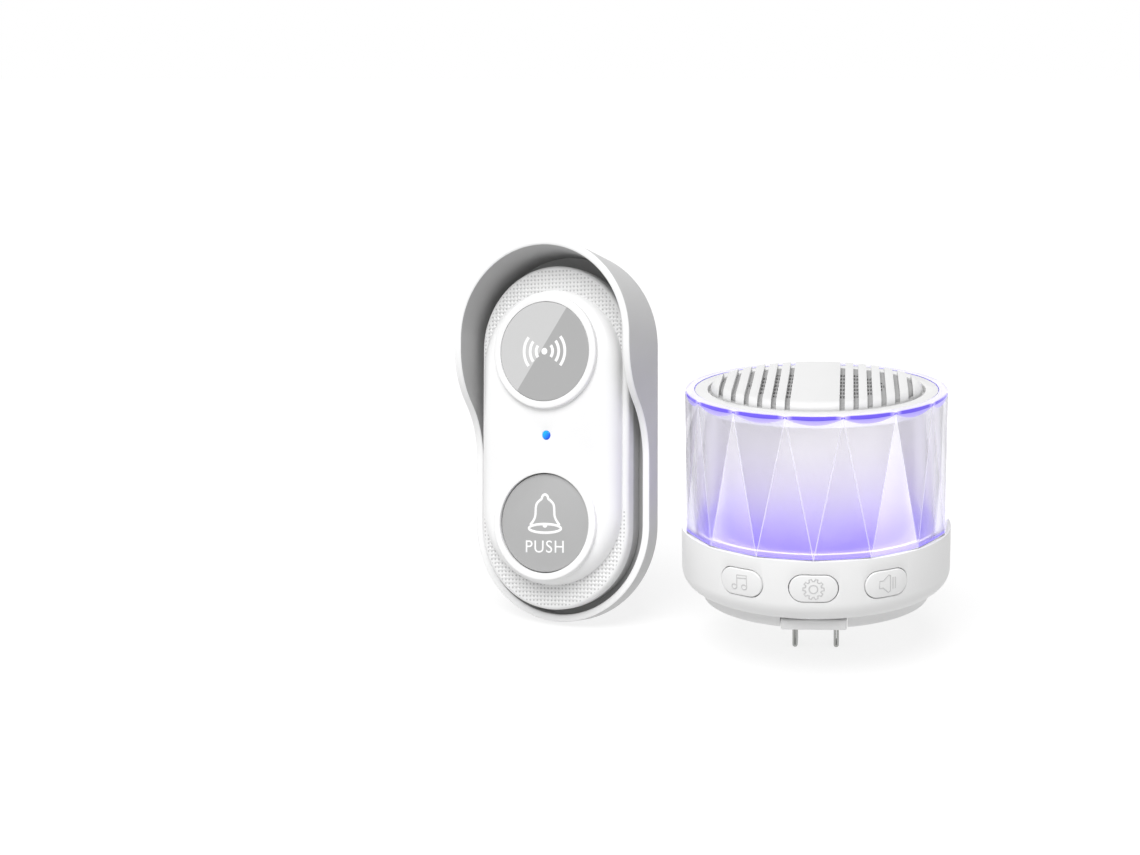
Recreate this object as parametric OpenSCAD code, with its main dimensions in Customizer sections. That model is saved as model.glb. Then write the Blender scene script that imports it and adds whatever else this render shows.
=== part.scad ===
// Wireless doorbell set: a battery call unit under a rain hood, and a plug-in chime with a clear
// faceted ring that is lit from below. Millimetres, +Z up. The origin is the middle of the chime's
// plug face, between its blades, and the chime's three keys face -Y.

/* [Layout of the set] */
// Call unit's distance to the left of the chime's axis
call_left = 79.6; // [78:0.2:140]
// Call unit's distance behind the chime's axis
call_behind = 34; // [0:1:60]
// Direction that the set is looked at from, about the upright axis
view_turn = 1.9; // [0:0.1:30]
// Turn of the call unit away from that direction
call_turn = 21.2; // [0:0.1:45]
// Lean of the call unit away from the viewer
call_lean = 14.6; // [0:0.1:30]

/* [Rain hood] */
// Width of the hood
hood_w = 61.8; // [56:0.2:74]
// Height of the hood at its back
hood_h = 118.4; // [106:0.2:140]
// Thickness of the hood's side walls and roof
hood_wall = 2.4; // [1.6:0.1:3]
// Thickness of the hood's back plate
hood_back = 2.4; // [2:0.1:3.4]
// Depth of the roof
hood_deep = 21; // [19:0.5:32]
// Depth of the low rim round the lower half
hood_low = 6.7; // [4:0.1:8]
// Length of the sweep from the low rim to the roof
hood_sweep = 36; // [30:1:46]
// Middle of that sweep above the hood's centre
hood_sweep_up = 10.3; // [0:0.1:14]
// Climb of the roof towards the front, in degrees
roof_climb = 7; // [2:0.5:12]
// Distance between the two wall screws
wall_screw_pitch = 84; // [70:1:90]
// Diameter of the wall screw holes
wall_screw_d = 4.2; // [3:0.1:5]
// Thickness of the foam tape between the hood and the call unit
tape_t = 0.8; // [0.5:0.1:1.5]

/* [Call unit body] */
// Gap between the hood's wall and the body's sides
hood_gap = 2.5; // [1.5:0.1:4]
// Gap between the hood's wall and the body's ends, before the body's drop
hood_end_gap = 2.4; // [1.6:0.1:4]
// How far the body sits below the middle of the hood
body_drop = 0.6; // [0:0.1:1]
// Side wall of the body's two shells
body_wall = 1.8; // [1.2:0.1:2.2]
// Depth of the rear shell
rear_deep = 4.6; // [4.2:0.1:6.5]
// Floor of the rear shell
rear_floor = 1.6; // [1.2:0.1:2]
// Depth of the bezel in front of the rear shell
bezel_deep = 3.9; // [3.4:0.1:6]
// Front plate of the bezel
bezel_face = 1.6; // [1.2:0.1:2]
// Rounding of the bezel's front edge
bezel_round = 1.2; // [0.5:0.1:1.5]

/* [Call unit cover] */
// Width of the bezel beside the raised cover
bezel_side = 1.9; // [1.5:0.1:2.6]
// Width of the bezel beyond the raised cover's ends
bezel_end = 7.8; // [6:0.1:9]
// How far the cover stands in front of the bezel
cover_deep = 5; // [4.6:0.1:7]
// Wall of the cover
cover_wall = 1.6; // [1.2:0.1:1.8]
// Outer diameter of the two round rims
rim_d = 36; // [35:0.2:37]
// Bore of the two round rims
rim_bore = 31.4; // [30:0.2:32]
// Height of the rims above the cover
rim_rise = 1.5; // [1:0.1:3]
// Distance from a rim to the cover's end
rim_end = 1.7; // [1:0.1:3]
// Thickness of the signal lens in the upper rim
lens_t = 1.5; // [1:0.1:2]
// Diameter of the light pipe
pipe_d = 2.8; // [2:0.1:4]
// Place of the light above the middle of the cover
pipe_up = 0.6; // [-2:0.1:3]

/* [Call button] */
// Gap round the call button
button_gap = 0.3; // [0.2:0.05:0.5]
// How far the button's face lies below its rim
button_sink = 0.8; // [0.3:0.1:1.2]
// Travel of the call button
button_travel = 1; // [0.5:0.1:1.2]
// Thickness of the button's face
button_face = 1.8; // [1.2:0.1:2]
// Width of the lip that keeps the button in
button_lip = 1.4; // [0.8:0.1:1.6]

/* [Call unit electronics] */
// Thickness of every circuit board
board_t = 1.6; // [1:0.1:1.8]
// Height of the bosses under the call unit's board
board_boss = 2.2; // [1.6:0.1:2.4]
// Gap between the call unit's board and the cover's skirt
call_board_gap = 0.4; // [0.2:0.1:2]
// Side of the call switch
call_switch_w = 6; // [4.5:0.1:8]
// Height of the call switch's case
call_switch_h = 3.5; // [3.2:0.1:4]
// Diameter of a switch plunger
plunger_d = 3.4; // [2.4:0.1:3.8]
// Diameter of the coin cell
cell_d = 20; // [16:0.5:24]
// Thickness of the coin cell
cell_t = 3.2; // [1.6:0.1:3.6]

/* [Chime base] */
// Diameter of the base drum
base_d = 82; // [80:0.5:92]
// Height of the base drum
base_h = 18.7; // [18:0.1:26]
// Rounding of the base drum's lower edge
base_round = 6; // [4:0.1:6]
// Wall of the base drum
base_wall = 2.2; // [1.8:0.1:2.6]
// Diameter of the rear plate under the drum
plate_d = 69; // [66:0.5:69.5]
// Thickness of the rear plate
plate_t = 3.4; // [3:0.1:5]
// How far the plug block stands out below the rear plate
plug_proud = 0.4; // [0.2:0.1:1]
// Width of the plug block
plug_w = 19.2; // [17:0.1:24]
// How far the plug block reaches behind the blades
plug_behind = 10; // [6:0.5:14]

/* [Plug blades] */
// Distance between the blades, a standard size
blade_pitch = 12.7; // [12.7]
// Width of a blade, a standard size
blade_w = 6.35; // [6.35]
// Thickness of a blade
blade_t = 1.6; // [1.4:0.1:1.7]
// Length of a blade below the plug face
blade_l = 16.5; // [15.9:0.1:18.3]

/* [Chime keys] */
// Width of a key
key_w = 14; // [10:0.5:16]
// Height of a key
key_h = 7.8; // [6:0.1:8]
// Angle between keys
key_step = 31; // [27:0.5:40]
// How far a key stands out of the drum
key_proud = 0.3; // [0:0.1:0.8]
// Gap round a key
key_gap = 0.25; // [0.15:0.05:0.4]
// Travel of a key
key_travel = 0.8; // [0.4:0.1:1]
// Width of the lip that keeps a key in
key_lip = 1; // [0.6:0.1:1.2]

/* [Chime light] */
// Height of the crystal ring, with its rim
crystal_h = 42; // [36:0.5:60]
// Number of facet pairs round the crystal
crystal_n = 15; // [12:1:20]
// How far the crystal's foot is set in from the drum's edge
crystal_inset = 0.4; // [0.2:0.1:0.8]
// How far the crystal narrows to its top
crystal_taper = 1.2; // [0:0.1:2]
// Thinnest wall of the crystal
crystal_wall = 1.8; // [1.4:0.1:2.4]
// Height of the crystal's round top rim
crystal_rim = 1; // [0.6:0.1:2]
// Clear channel between the crystal and the core
light_channel = 7.2; // [6.6:0.1:9]
// Wall of the lit core
core_wall = 2; // [1.4:0.1:2.4]
// Thickness of the tray that the crystal and the core stand on
tray_t = 1.6; // [1.2:0.1:2]
// Number of light-emitting diodes under the tray
led_n = 12; // [6:3:15]

/* [Chime speaker] */
// Width of the flat deck round the grille
deck_w = 3.9; // [3.6:0.1:4.4]
// Width of the groove round the grille
groove_w = 0.9; // [0.5:0.1:1.2]
// Height of the grille above the deck
grille_rise = 2.3; // [2:0.1:4]
// Rounding of the grille's edge
grille_round = 2.5; // [1.5:0.1:3]
// Thickness of the grille
grille_t = 1.6; // [1.2:0.1:2]
// Width of a grille slot
slot_w = 1.5; // [1:0.1:2]
// Distance of the outermost slots from the grille's edge
slot_side = 3.9; // [3:0.1:8]
// Number of slots on each side of the middle band
slot_n = 6; // [3:1:7]
// Place of the first slot from the middle
slot_first = 7.8; // [5:0.1:8]
// Pitch of the windows in the baffle under the slots
window_pitch = 5.2; // [4.5:0.1:7]
// Length of a window along its slot
window_h = 3.1; // [2:0.1:4]
// Width of the rib that splits a window
window_rib = 0.3; // [0.2:0.05:0.6]
// Height of the speaker below its flange
speaker_deep = 18.6; // [18:0.1:22]
// Travel of the cone each way
cone_travel = 0.5; // [0.2:0.1:0.6]

/* [Hidden] */
$fn = 128;

// Clearances, shared by everything that nests
fit = 0.2;        // pieces that nest and stay
snug = 0.05;      // screws in their pilots, blades in their block
slide = 0.15;     // plungers in their switches
rest_gap = 0.3;   // moving pieces beside fixed ones
over = 1;         // how far a cut runs past a face

// Screws
screw_r = 1.1;
screw_head_r = 2.1;
screw_head_h = 1.3;
screw_round = 0.6;
boss_r = 2.4;
screw_tip_gap = 0.4;
pilot_end = 0.5;   // wall left behind a pilot hole

// Call unit, measured along its depth from the hood's back face
hood_r = hood_w / 2;
hood_c = hood_h / 2 - hood_r;
hood_rise = hood_deep - hood_low;
roof_step = 0.05;
sweep_r = (pow(hood_sweep, 2) + pow(hood_rise, 2)) / (4 * hood_rise);
body_w = hood_w - 2 * (hood_wall + hood_gap);
body_h = hood_h - 2 * (hood_wall + hood_end_gap);
body_r = body_w / 2;
body_c = body_h / 2 - body_r;
rear_inset = 0.4;
gasket_w = 0.7;
gasket_h = 0.6;
gasket_r = body_r - rear_inset - body_wall / 2;
rear_z = hood_back + tape_t;
floor_z = rear_z + rear_floor;
split_z = rear_z + rear_deep;
face_z = split_z + bezel_deep;
cover_w = body_w - 2 * bezel_side;
cover_h = body_h - 2 * bezel_end;
cover_r = cover_w / 2;
cover_c = cover_h / 2 - cover_r;
cover_z = face_z + cover_deep;
rim_z = cover_z + rim_rise;
rim_y = cover_h / 2 - rim_d / 2 - rim_end;
rim_round = 0.5;
cover_seat = 2.1;
cover_land = 0.4;
opening_r = cover_r - cover_seat;
skirt_r = opening_r - fit;
skirt_t = 1.4;
skirt_deep = 1.4;
hollow_r = skirt_r - skirt_t;
hollow_z = cover_z - cover_wall;
lens_sink = 0.1;
lens_round = 0.2;
lens_z = rim_z - lens_sink - lens_t;
button_r = rim_bore / 2 - button_gap;
button_z = rim_z - button_sink;
button_under = button_z - button_face;
button_wall = 2;
button_round = 0.3;
lip_z = hollow_z - rest_gap;
lip_t = 1.3;
pocket_r = button_r + button_lip + button_gap;
call_board_z = floor_z + board_boss;
call_top_z = call_board_z + board_t;
call_board_r = hollow_r - call_board_gap;
call_board_c = cover_c;
call_boss_in = 6;
call_boss_y = 9;
plunger_r = plunger_d / 2;
plunger_in = 1.1;
plunger_out = 1.7;
call_switch_z = call_top_z + call_switch_h;
stem_z = call_switch_z + plunger_out;
stem_r = 2.4;
pipe_r = pipe_d / 2;
pipe_proud = 0.2;
pipe_round = 0.4;
pipe_flange = 0.9;
pipe_flange_t = 1;
call_led_size = [2, 1.25, 0.7];
radio_chip_size = [5, 4, 1.5];
radio_chip_y = -12;
clock_can = [4.6, 2.2, 1.8];
clock_can_y = -7;
antenna_r = 0.5;
antenna_in = 2;
cell_drop = 1;
cell_y = rim_y - cell_drop;
cell_seat = 0.8;
cell_lip = 1.2;
cell_round = 0.4;
cell_z = call_top_z + cell_seat;
clip_w = 4;
clip_t = 0.4;
shell_screw_y = (cover_c + opening_r + body_c + body_r - body_wall) / 2;
shell_pad = 2.8;
tip_z = -blade_l;
lean_reach = sqrt(pow(cos(call_lean), 2) + pow(sin(call_lean) * sin(call_turn), 2));
call_z = tip_z + hood_c * cos(call_lean) + hood_r * lean_reach;

// Chime heights
plate_z = plug_proud;
base_z = plate_z + plate_t;
base_top = base_z + base_h;
tray_z = base_top - tray_t;
ledge_t = 1;
ledge_z = tray_z - ledge_t;
key_room = 0.5;
key_z = ledge_z - key_room - key_lip - key_h / 2;
key_switch_h = 5;
main_top = key_z - key_switch_h / 2;
main_z = main_top - board_t;
boss_gap = 0.5;
plate_boss_z = main_z - boss_gap;
pilot_z = base_z + pilot_end;
plug_roof = 0.7;
plug_t = base_z - plug_roof - fit;
plug_ahead = 0.4;
plug_corner = 0.8;
blade_tail_h = 4;
blade_tail = base_z + blade_tail_h;
contact_wall = 0.8;
contact_in = 0.5;
contact_up = 1.2;
crystal_top = base_top + crystal_h;
deck_deep = 4;
deck_z = crystal_top - deck_deep;
deck_ledge_deep = 2.2;
deck_ledge = crystal_top - deck_ledge_deep;
grille_top = crystal_top + grille_rise;

// Chime radii
base_r = base_d / 2;
base_in = base_r - base_wall;
plate_r = plate_d / 2;
plug_front = plate_r + plug_ahead;
plate_seat = 6.5;
open_r = plate_r - plate_seat;
foot_r = open_r - fit;
foot_t = 2;
plate_screw_out = 3;
plate_screw_r = open_r + plate_screw_out;
post_in = 6;
post_r = open_r - post_in;
ledge_w = 1.5;
ledge_r = base_in - ledge_w;
main_gap = 5.8;
main_r = base_in - main_gap;
crystal_foot_r = base_r - crystal_inset;
crystal_top_r = crystal_foot_r - crystal_taper;
rim_inset = 0.1;
crystal_in = crystal_top_r * cos(180 / crystal_n) - crystal_wall;
core_r = crystal_in - light_channel;
core_in = core_r - core_wall;
deck_r = crystal_in - fit;
deck_in = deck_r - deck_w;
grille_r = deck_in - groove_w;
grille_in = grille_r - grille_t;
baffle_r = grille_in - fit;
baffle_top = grille_top - grille_t - fit;
spigot_r = core_in - fit;
spigot_t = 2;
spigot_h = 2;
throat_r = spigot_r - spigot_t;
tray_lip = 1;
curb_w = 1;
curb_h = 1.2;
led_ring_r = (core_r + crystal_in) / 2;
led_h = 1;
led_w = 2.8;
led_board_gap = 1.2;
led_board_z = tray_z - led_board_gap - board_t;
led_board_in = 3;
led_board_out = 2;
peg_r = 0.8;
slot_pitch = (grille_r - slot_side - slot_first) / (slot_n - 1);
window_edge = 5;
window_reach = throat_r - window_edge;

// Chime keys, measured outwards from the chime's axis
key_r = key_h / 2;
key_c = key_w / 2 - key_r;
key_face = base_r + key_proud;
key_lip_t = 2.3;
key_back = base_in - rest_gap - key_lip_t;
key_switch_in = 0.9;
key_switch_out = main_r - key_switch_in;
key_switch_w = 6;
key_switch_d = 3.5;
key_plunger_out = 1.4;
key_tip = key_switch_out + key_plunger_out;

// What stands on the chime's main board
transformer = [14, 12, 10];
transformer_at = [-3, 4, 0];
capacitor_d = 10;
capacitor_h = 11;
capacitor_round = 0.6;
capacitor_at = [-2, -11, 0];
sound_chip_size = [8, 6, 1.6];
sound_chip_at = [12, -9, 0];
radio_module_size = [12, 1.2, 7];
radio_module_at = [12, 10, 0];

// Speaker
flange_t = 1.2;
flange_r = spigot_r;
flange_z = deck_ledge - flange_t;
basket_gap = 0.4;
basket_r = throat_r - basket_gap;
basket_t = 1;
basket_rim = 3;
surround_gap = 1.2;
surround_out = basket_r - basket_t - surround_gap;
surround_w = 3.6;
surround_t = 0.5;
cone_r = surround_out - surround_w - fit;
cone_sink = 0.1;
cone_top = flange_z - cone_sink;
cone_t = 0.8;
coil_r = 6.6;
coil_t = 0.6;
magnet_r = 14;
magnet_h = 7.5;
magnet_z = flange_z - speaker_deep;
basket_z = magnet_z + magnet_h;
cone_up = 4;
cone_low = basket_z + cone_up;
coil_dip = 3.5;
coil_room = 0.5;
pole_gap = 0.6;
basket_lip = 1;
basket_bore = coil_r + basket_lip;

// Shared shapes

// Outline with two straight sides and round ends, c above and below the middle
module stadium(r, c) {
    square([2 * r, 2 * c], center = true);
    for (s = [-1, 1])
        translate([0, s * c])
            circle(r);
}

module pill(r, c, z0, z1) {
    translate([0, 0, z0])
        linear_extrude(z1 - z0)
            stadium(r, c);
}

// Half section of a disc whose upper edge is rounded
module round_half(r, z0, z1, round_r) {
    translate([0, z0])
        square([r - round_r, z1 - z0]);
    translate([0, z0])
        square([r, z1 - round_r - z0]);
    translate([r - round_r, z1 - round_r])
        intersection() {
            circle(round_r);
            square(round_r);
        }
}

module round_disc(r, z0, z1, round_r) {
    rotate_extrude()
        round_half(r, z0, z1, round_r);
}

// A stadium block whose front edge is rounded
module round_pill(r, c, z0, z1, round_r) {
    for (s = [-1, 1])
        translate([0, s * c, 0])
            round_disc(r, z0, z1, round_r);
    rotate([90, 0, 0])
        linear_extrude(2 * c, center = true) {
            round_half(r, z0, z1, round_r);
            mirror([1, 0])
                round_half(r, z0, z1, round_r);
        }
}

module tube(r_out, r_in, z0, z1) {
    translate([0, 0, z0])
        difference() {
            cylinder(r = r_out, h = z1 - z0);
            translate([0, 0, -over])
                cylinder(r = r_in, h = z1 - z0 + 2 * over);
        }
}

module rod(r, z0, z1) {
    translate([0, 0, z0])
        cylinder(r = r, h = z1 - z0);
}

module block(x, y, z0, z1) {
    translate([-x / 2, -y / 2, z0])
        cube([x, y, z1 - z0]);
}

// Pan-head screw whose head stands on z, with its shank towards -Z
module screw(z, shank) {
    rod(screw_r, z - shank, z + screw_head_h / 2);
    round_disc(screw_head_r, z, z + screw_head_h, screw_round);
}

// Places

// The call unit's own frame: X across, Y up, Z out of its front
module on_call() {
    translate([-call_left, call_behind, call_z])
        rotate([0, 0, view_turn])
            rotate([-call_lean, 0, 0])
                rotate([90, 0, -call_turn])
                    children();
}

module on_body() {
    on_call()
        translate([0, -body_drop, 0])
            children();
}

module at_call_bosses() {
    for (x = [-1, 1], y = [-1, 1])
        translate([x * (call_board_r - call_boss_in), y * call_boss_y, 0])
            children();
}

module at_shell_screws() {
    for (s = [-1, 1])
        translate([0, s * shell_screw_y, 0])
            children();
}

// A key's frame: X round the drum, Y up, Z out from the chime's axis
module at_key(place) {
    rotate([0, 0, place * key_step])
        translate([0, 0, key_z])
            rotate([90, 0, 0])
                children();
}

module at_plate_screws() {
    for (a = [90, 210, 330])
        rotate([0, 0, a])
            translate([plate_screw_r, 0, 0])
                children();
}

module at_posts() {
    for (a = [0, 120, 240])
        rotate([0, 0, a])
            translate([post_r, 0, 0])
                children();
}

module at_pegs() {
    for (a = [0, 120, 240])
        rotate([0, 0, a])
            translate([led_ring_r, 0, 0])
                children();
}

module at_blades() {
    for (s = [-1, 1])
        translate([s * blade_pitch / 2, 0, 0])
            children();
}

// Rain hood

// Side view of the hood: low rim, two arcs that sweep up, deep roof
module hood_profile() {
    half = hood_sweep / 2;
    mid = hood_low + hood_rise / 2;
    translate([-hood_h, 0])
        square([hood_h + hood_sweep_up, hood_low]);
    translate([hood_sweep_up + half, 0])
        square([hood_h, hood_deep]);
    translate([hood_sweep_up, 0])
        square([half, mid]);
    intersection() {
        translate([hood_sweep_up, 0])
            square([half, hood_deep]);
        translate([hood_sweep_up + half, hood_deep - sweep_r])
            circle(sweep_r);
    }
    difference() {
        translate([hood_sweep_up - half, 0])
            square([half, mid]);
        translate([hood_sweep_up - half, hood_low + sweep_r])
            circle(sweep_r);
    }
}

// The space of the hood in front of z0, with its upper end tilted to make the climbing roof, which is
// set in by the step of its parting line
module hood_space(r, z0) {
    roof_r = r - roof_step;
    intersection() {
        union() {
            linear_extrude(2 * hood_deep) {
                translate([-r, -hood_c])
                    square([2 * r, 2 * hood_c]);
                translate([0, -hood_c])
                    circle(r);
            }
            translate([0, hood_c, 0])
                rotate([-roof_climb, 0, 0])
                    translate([0, 0, -hood_deep])
                        linear_extrude(3 * hood_deep) {
                            circle(roof_r);
                            translate([-roof_r, -hood_deep])
                                square([2 * roof_r, hood_deep]);
                        }
        }
        translate([-hood_w, -hood_h, z0])
            cube([2 * hood_w, 2 * hood_h, 2 * hood_deep]);
    }
}

module rain_hood() {
    color("white")
        on_call()
            difference() {
                intersection() {
                    difference() {
                        hood_space(hood_r, 0);
                        hood_space(hood_r - hood_wall, hood_back);
                    }
                    rotate([90, 0, 90])
                        linear_extrude(2 * hood_w, center = true)
                            hood_profile();
                }
                for (s = [-1, 1])
                    translate([0, s * wall_screw_pitch / 2, 0]) {
                        rod(wall_screw_d / 2, -over, hood_back + over);
                        translate([0, 0, hood_back / 2])
                            cylinder(r1 = wall_screw_d / 2, r2 = wall_screw_d, h = hood_back);
                    }
            }
}

module body_tape() {
    color("lightgray")
        on_body()
            pill(body_r / 2, body_c, hood_back, rear_z);
}

// Call unit's two shells

module call_rear_shell() {
    color("whitesmoke")
        on_body()
            difference() {
                union() {
                    difference() {
                        pill(body_r - rear_inset, body_c, rear_z, split_z);
                        pill(body_r - body_wall - rear_inset, body_c, floor_z, split_z + over);
                    }
                    at_call_bosses()
                        rod(boss_r, rear_z, call_board_z);
                    at_shell_screws()
                        rod(boss_r, rear_z, rear_z + shell_pad);
                }
                gasket_groove(fit / 2);
                at_call_bosses()
                    rod(screw_r + snug, rear_z + pilot_end, call_board_z + over);
                at_shell_screws() {
                    rod(screw_r + fit, rear_z - over, split_z);
                    rod(screw_head_r + fit, rear_z - over, rear_z + screw_head_h + fit);
                }
            }
}

module gasket_groove(room) {
    difference() {
        pill(gasket_r + gasket_w / 2 + room, body_c, split_z - gasket_h, split_z + over);
        pill(gasket_r - gasket_w / 2 - room, body_c, split_z - gasket_h - over, split_z + 2 * over);
    }
}

module shell_gasket() {
    color("dimgray")
        on_body()
            difference() {
                pill(gasket_r + gasket_w / 2, body_c, split_z - gasket_h, split_z);
                pill(gasket_r - gasket_w / 2, body_c, split_z - gasket_h - over, split_z + over);
            }
}

module shell_screws() {
    color("silver")
        on_body()
            at_shell_screws()
                translate([0, 0, rear_z + screw_head_h + fit])
                    mirror([0, 0, 1])
                        screw(0, face_z - bezel_face - screw_tip_gap - rear_z - screw_head_h - fit);
}

module call_bezel() {
    color("gainsboro")
        on_body()
            difference() {
                union() {
                    difference() {
                        round_pill(body_r, body_c, split_z, face_z, bezel_round);
                        pill(body_r - body_wall, body_c, split_z - over, face_z - bezel_face);
                    }
                    at_shell_screws()
                        rod(boss_r, rear_z + shell_pad, face_z - bezel_face / 2);
                }
                pill(opening_r, cover_c, split_z, face_z + over);
                at_shell_screws()
                    rod(screw_r + snug, rear_z, face_z - bezel_face);
            }
}

// Call unit's cover, lens and light

module call_front_cover() {
    color("white")
        on_body()
            difference() {
                union() {
                    round_pill(cover_r, cover_c, face_z, cover_z, cover_deep - cover_land);
                    pill(skirt_r, cover_c, face_z - bezel_face - skirt_deep, face_z + over);
                    for (s = [-1, 1])
                        translate([0, s * rim_y, 0])
                            round_disc(rim_d / 2, face_z, rim_z, rim_round);
                }
                pill(hollow_r, cover_c, split_z - over, hollow_z);
                translate([0, rim_y, 0])
                    rod(rim_bore / 2, lens_z, rim_z + over);
                translate([0, -rim_y, 0]) {
                    rod(rim_bore / 2, face_z, rim_z + over);
                    rod(pocket_r, split_z - over, hollow_z);
                }
                translate([0, pipe_up, 0])
                    rod(pipe_r + fit / 2, face_z, cover_z + over);
            }
}

module signal_lens() {
    color("lightgray")
        on_body()
            translate([0, rim_y, 0])
                round_disc(rim_bore / 2 - fit / 2, lens_z, lens_z + lens_t, lens_round);
}

module light_pipe() {
    color("deepskyblue")
        on_body()
            translate([0, pipe_up, 0]) {
                round_disc(pipe_r, call_top_z + call_led_size.z + fit, cover_z + pipe_proud, pipe_round);
                rod(pipe_r + pipe_flange, hollow_z - pipe_flange_t, hollow_z);
            }
}

// Call button and its switch

module call_button_cap() {
    color("silver")
        on_body()
            translate([0, -rim_y, 0]) {
                difference() {
                    union() {
                        round_disc(button_r, lip_z - lip_t, button_z, button_round);
                        rod(button_r + button_lip, lip_z - lip_t, lip_z);
                    }
                    rod(button_r - button_wall, lip_z - lip_t - over, button_under);
                }
                rod(stem_r, stem_z, button_under + button_face / 2);
            }
}

module call_switch_plunger() {
    color("dimgray")
        on_body()
            translate([0, -rim_y, 0])
                rod(plunger_r, call_switch_z - plunger_in, stem_z);
}

module call_switch_case() {
    color("black")
        on_body()
            translate([0, -rim_y, 0])
                difference() {
                    block(call_switch_w, call_switch_w, call_top_z, call_switch_z);
                    rod(
                        plunger_r + slide,
                        call_switch_z - plunger_in - button_travel - fit,
                        call_switch_z + over
                    );
                }
}

// Call unit's board and what it carries

module call_circuit_board() {
    color("darkgreen")
        on_body()
            difference() {
                pill(call_board_r, call_board_c, call_board_z, call_top_z);
                at_call_bosses()
                    rod(screw_r + fit, call_board_z - over, call_top_z + over);
            }
}

module call_board_screws() {
    color("silver")
        on_body()
            at_call_bosses()
                screw(call_top_z, call_top_z - rear_z - pilot_end - screw_tip_gap);
}

module call_led() {
    color("azure")
        on_body()
            translate([0, pipe_up, 0])
                block(call_led_size.x, call_led_size.y, call_top_z, call_top_z + call_led_size.z);
}

module radio_chip() {
    color("black")
        on_body()
            translate([0, radio_chip_y, 0])
                block(radio_chip_size.x, radio_chip_size.y, call_top_z, call_top_z + radio_chip_size.z);
}

module clock_crystal() {
    color("silver")
        on_body()
            translate([0, clock_can_y, 0])
                block(clock_can.x, clock_can.y, call_top_z, call_top_z + clock_can.z);
}

module call_antenna() {
    color("peru")
        on_body()
            translate([call_board_r - antenna_in, 0, call_top_z + antenna_r])
                rotate([90, 0, 0])
                    rod(antenna_r, -call_board_c, call_board_c);
}

module cell_holder() {
    color("dimgray")
        on_body()
            translate([0, cell_y, 0]) {
                rod(cell_d / 2 + cell_lip, call_top_z, cell_z);
                tube(cell_d / 2 + cell_lip, cell_d / 2 + fit, call_top_z, cell_z + cell_t / 2);
            }
}

module coin_cell() {
    color("silver")
        on_body()
            translate([0, cell_y, 0])
                round_disc(cell_d / 2, cell_z, cell_z + cell_t, cell_round);
}

module cell_clip() {
    color("goldenrod")
        on_body()
            translate([0, cell_y, 0])
                block(cell_d, clip_w, cell_z + cell_t, cell_z + cell_t + clip_t);
}

// Chime's base

// Half section of a drum whose lower edge is rounded
module drum_half(r, z0, z1, round_r) {
    mirror([0, 1])
        round_half(r, -z1, -z0, round_r);
}

module chime_base() {
    color("white")
        difference() {
            union() {
                rotate_extrude()
                    difference() {
                        drum_half(base_r, base_z, base_top, base_round);
                        drum_half(base_in, base_z + base_wall, ledge_z, base_round - base_wall);
                        square([open_r, base_top]);
                        translate([0, ledge_z])
                            square([ledge_r, ledge_t + tray_t + over]);
                        translate([0, tray_z])
                            square([base_in, tray_t + over]);
                    }
                at_plate_screws()
                    rod(boss_r, base_z + base_wall / 2, plate_boss_z);
            }
            for (place = [-1, 0, 1])
                at_key(place)
                    linear_extrude(base_r + over)
                        key_outline(key_gap);
            at_plate_screws()
                rod(screw_r + snug, base_z - over, plate_boss_z - pilot_end);
        }
}

module chime_rear_plate() {
    color("whitesmoke")
        difference() {
            union() {
                rod(plate_r, plate_z, base_z);
                tube(foot_r, foot_r - foot_t, base_z - plug_roof, base_z + base_wall);
                at_posts()
                    rod(boss_r, base_z - plug_roof, main_z);
            }
            translate([-plug_w / 2 - fit, -plate_r - over, plate_z - over])
                cube([plug_w + 2 * fit, plate_r + over + plug_behind + fit, plug_t + fit - plate_z + over]);
            at_blades()
                block(blade_t + 2 * fit, blade_w + 2 * fit, plate_z, base_z + over);
            at_plate_screws() {
                rod(screw_r + fit, plate_z - over, base_z + over);
                rod(screw_head_r + fit, plate_z - over, plate_z + screw_head_h + fit);
            }
            at_posts()
                rod(screw_r + snug, pilot_z, main_z + over);
        }
}

module rear_plate_screws() {
    color("silver")
        at_plate_screws()
            translate([0, 0, plate_z + screw_head_h + fit])
                mirror([0, 0, 1])
                    screw(0, plate_boss_z - pilot_end - screw_tip_gap - plate_z - screw_head_h - fit);
}

// Plug block and blades

module plug_block() {
    color("white")
        difference() {
            union() {
                translate([-plug_w / 2, -plug_front + plug_corner, 0])
                    cube([plug_w, plug_front - plug_corner + plug_behind, plug_t]);
                translate([-plug_w / 2 + plug_corner, -plug_front, 0])
                    cube([plug_w - 2 * plug_corner, plug_front, plug_t]);
                for (s = [-1, 1])
                    translate([s * (plug_w / 2 - plug_corner), -plug_front + plug_corner, 0])
                        rod(plug_corner, 0, plug_t);
            }
            at_blades()
                block(blade_t + 2 * snug, blade_w + 2 * snug, -over, plug_t + over);
        }
}

module plug_blades() {
    color("silver")
        at_blades() {
            block(blade_t, blade_w, tip_z + blade_t / 2, blade_tail);
            translate([0, 0, tip_z + blade_t / 2])
                rotate([90, 0, 0])
                    rod(blade_t / 2, -blade_w / 2, blade_w / 2);
        }
}

module blade_contacts() {
    color("goldenrod")
        at_blades()
            difference() {
                block(blade_t + 2 * contact_wall, blade_w - 2 * contact_in, base_z + contact_up, main_z);
                block(blade_t + 2 * snug, blade_w + over, base_z, blade_tail + snug);
            }
}

// Chime's main board and what it carries

module main_board() {
    color("darkgreen")
        difference() {
            rod(main_r, main_z, main_top);
            at_posts()
                rod(screw_r + fit, main_z - over, main_top + over);
        }
}

module main_board_screws() {
    color("silver")
        at_posts()
            screw(main_top, main_top - pilot_z - screw_tip_gap);
}

module power_transformer() {
    color("gold")
        translate(transformer_at)
            block(transformer.x, transformer.y, main_top, main_top + transformer.z);
}

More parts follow.
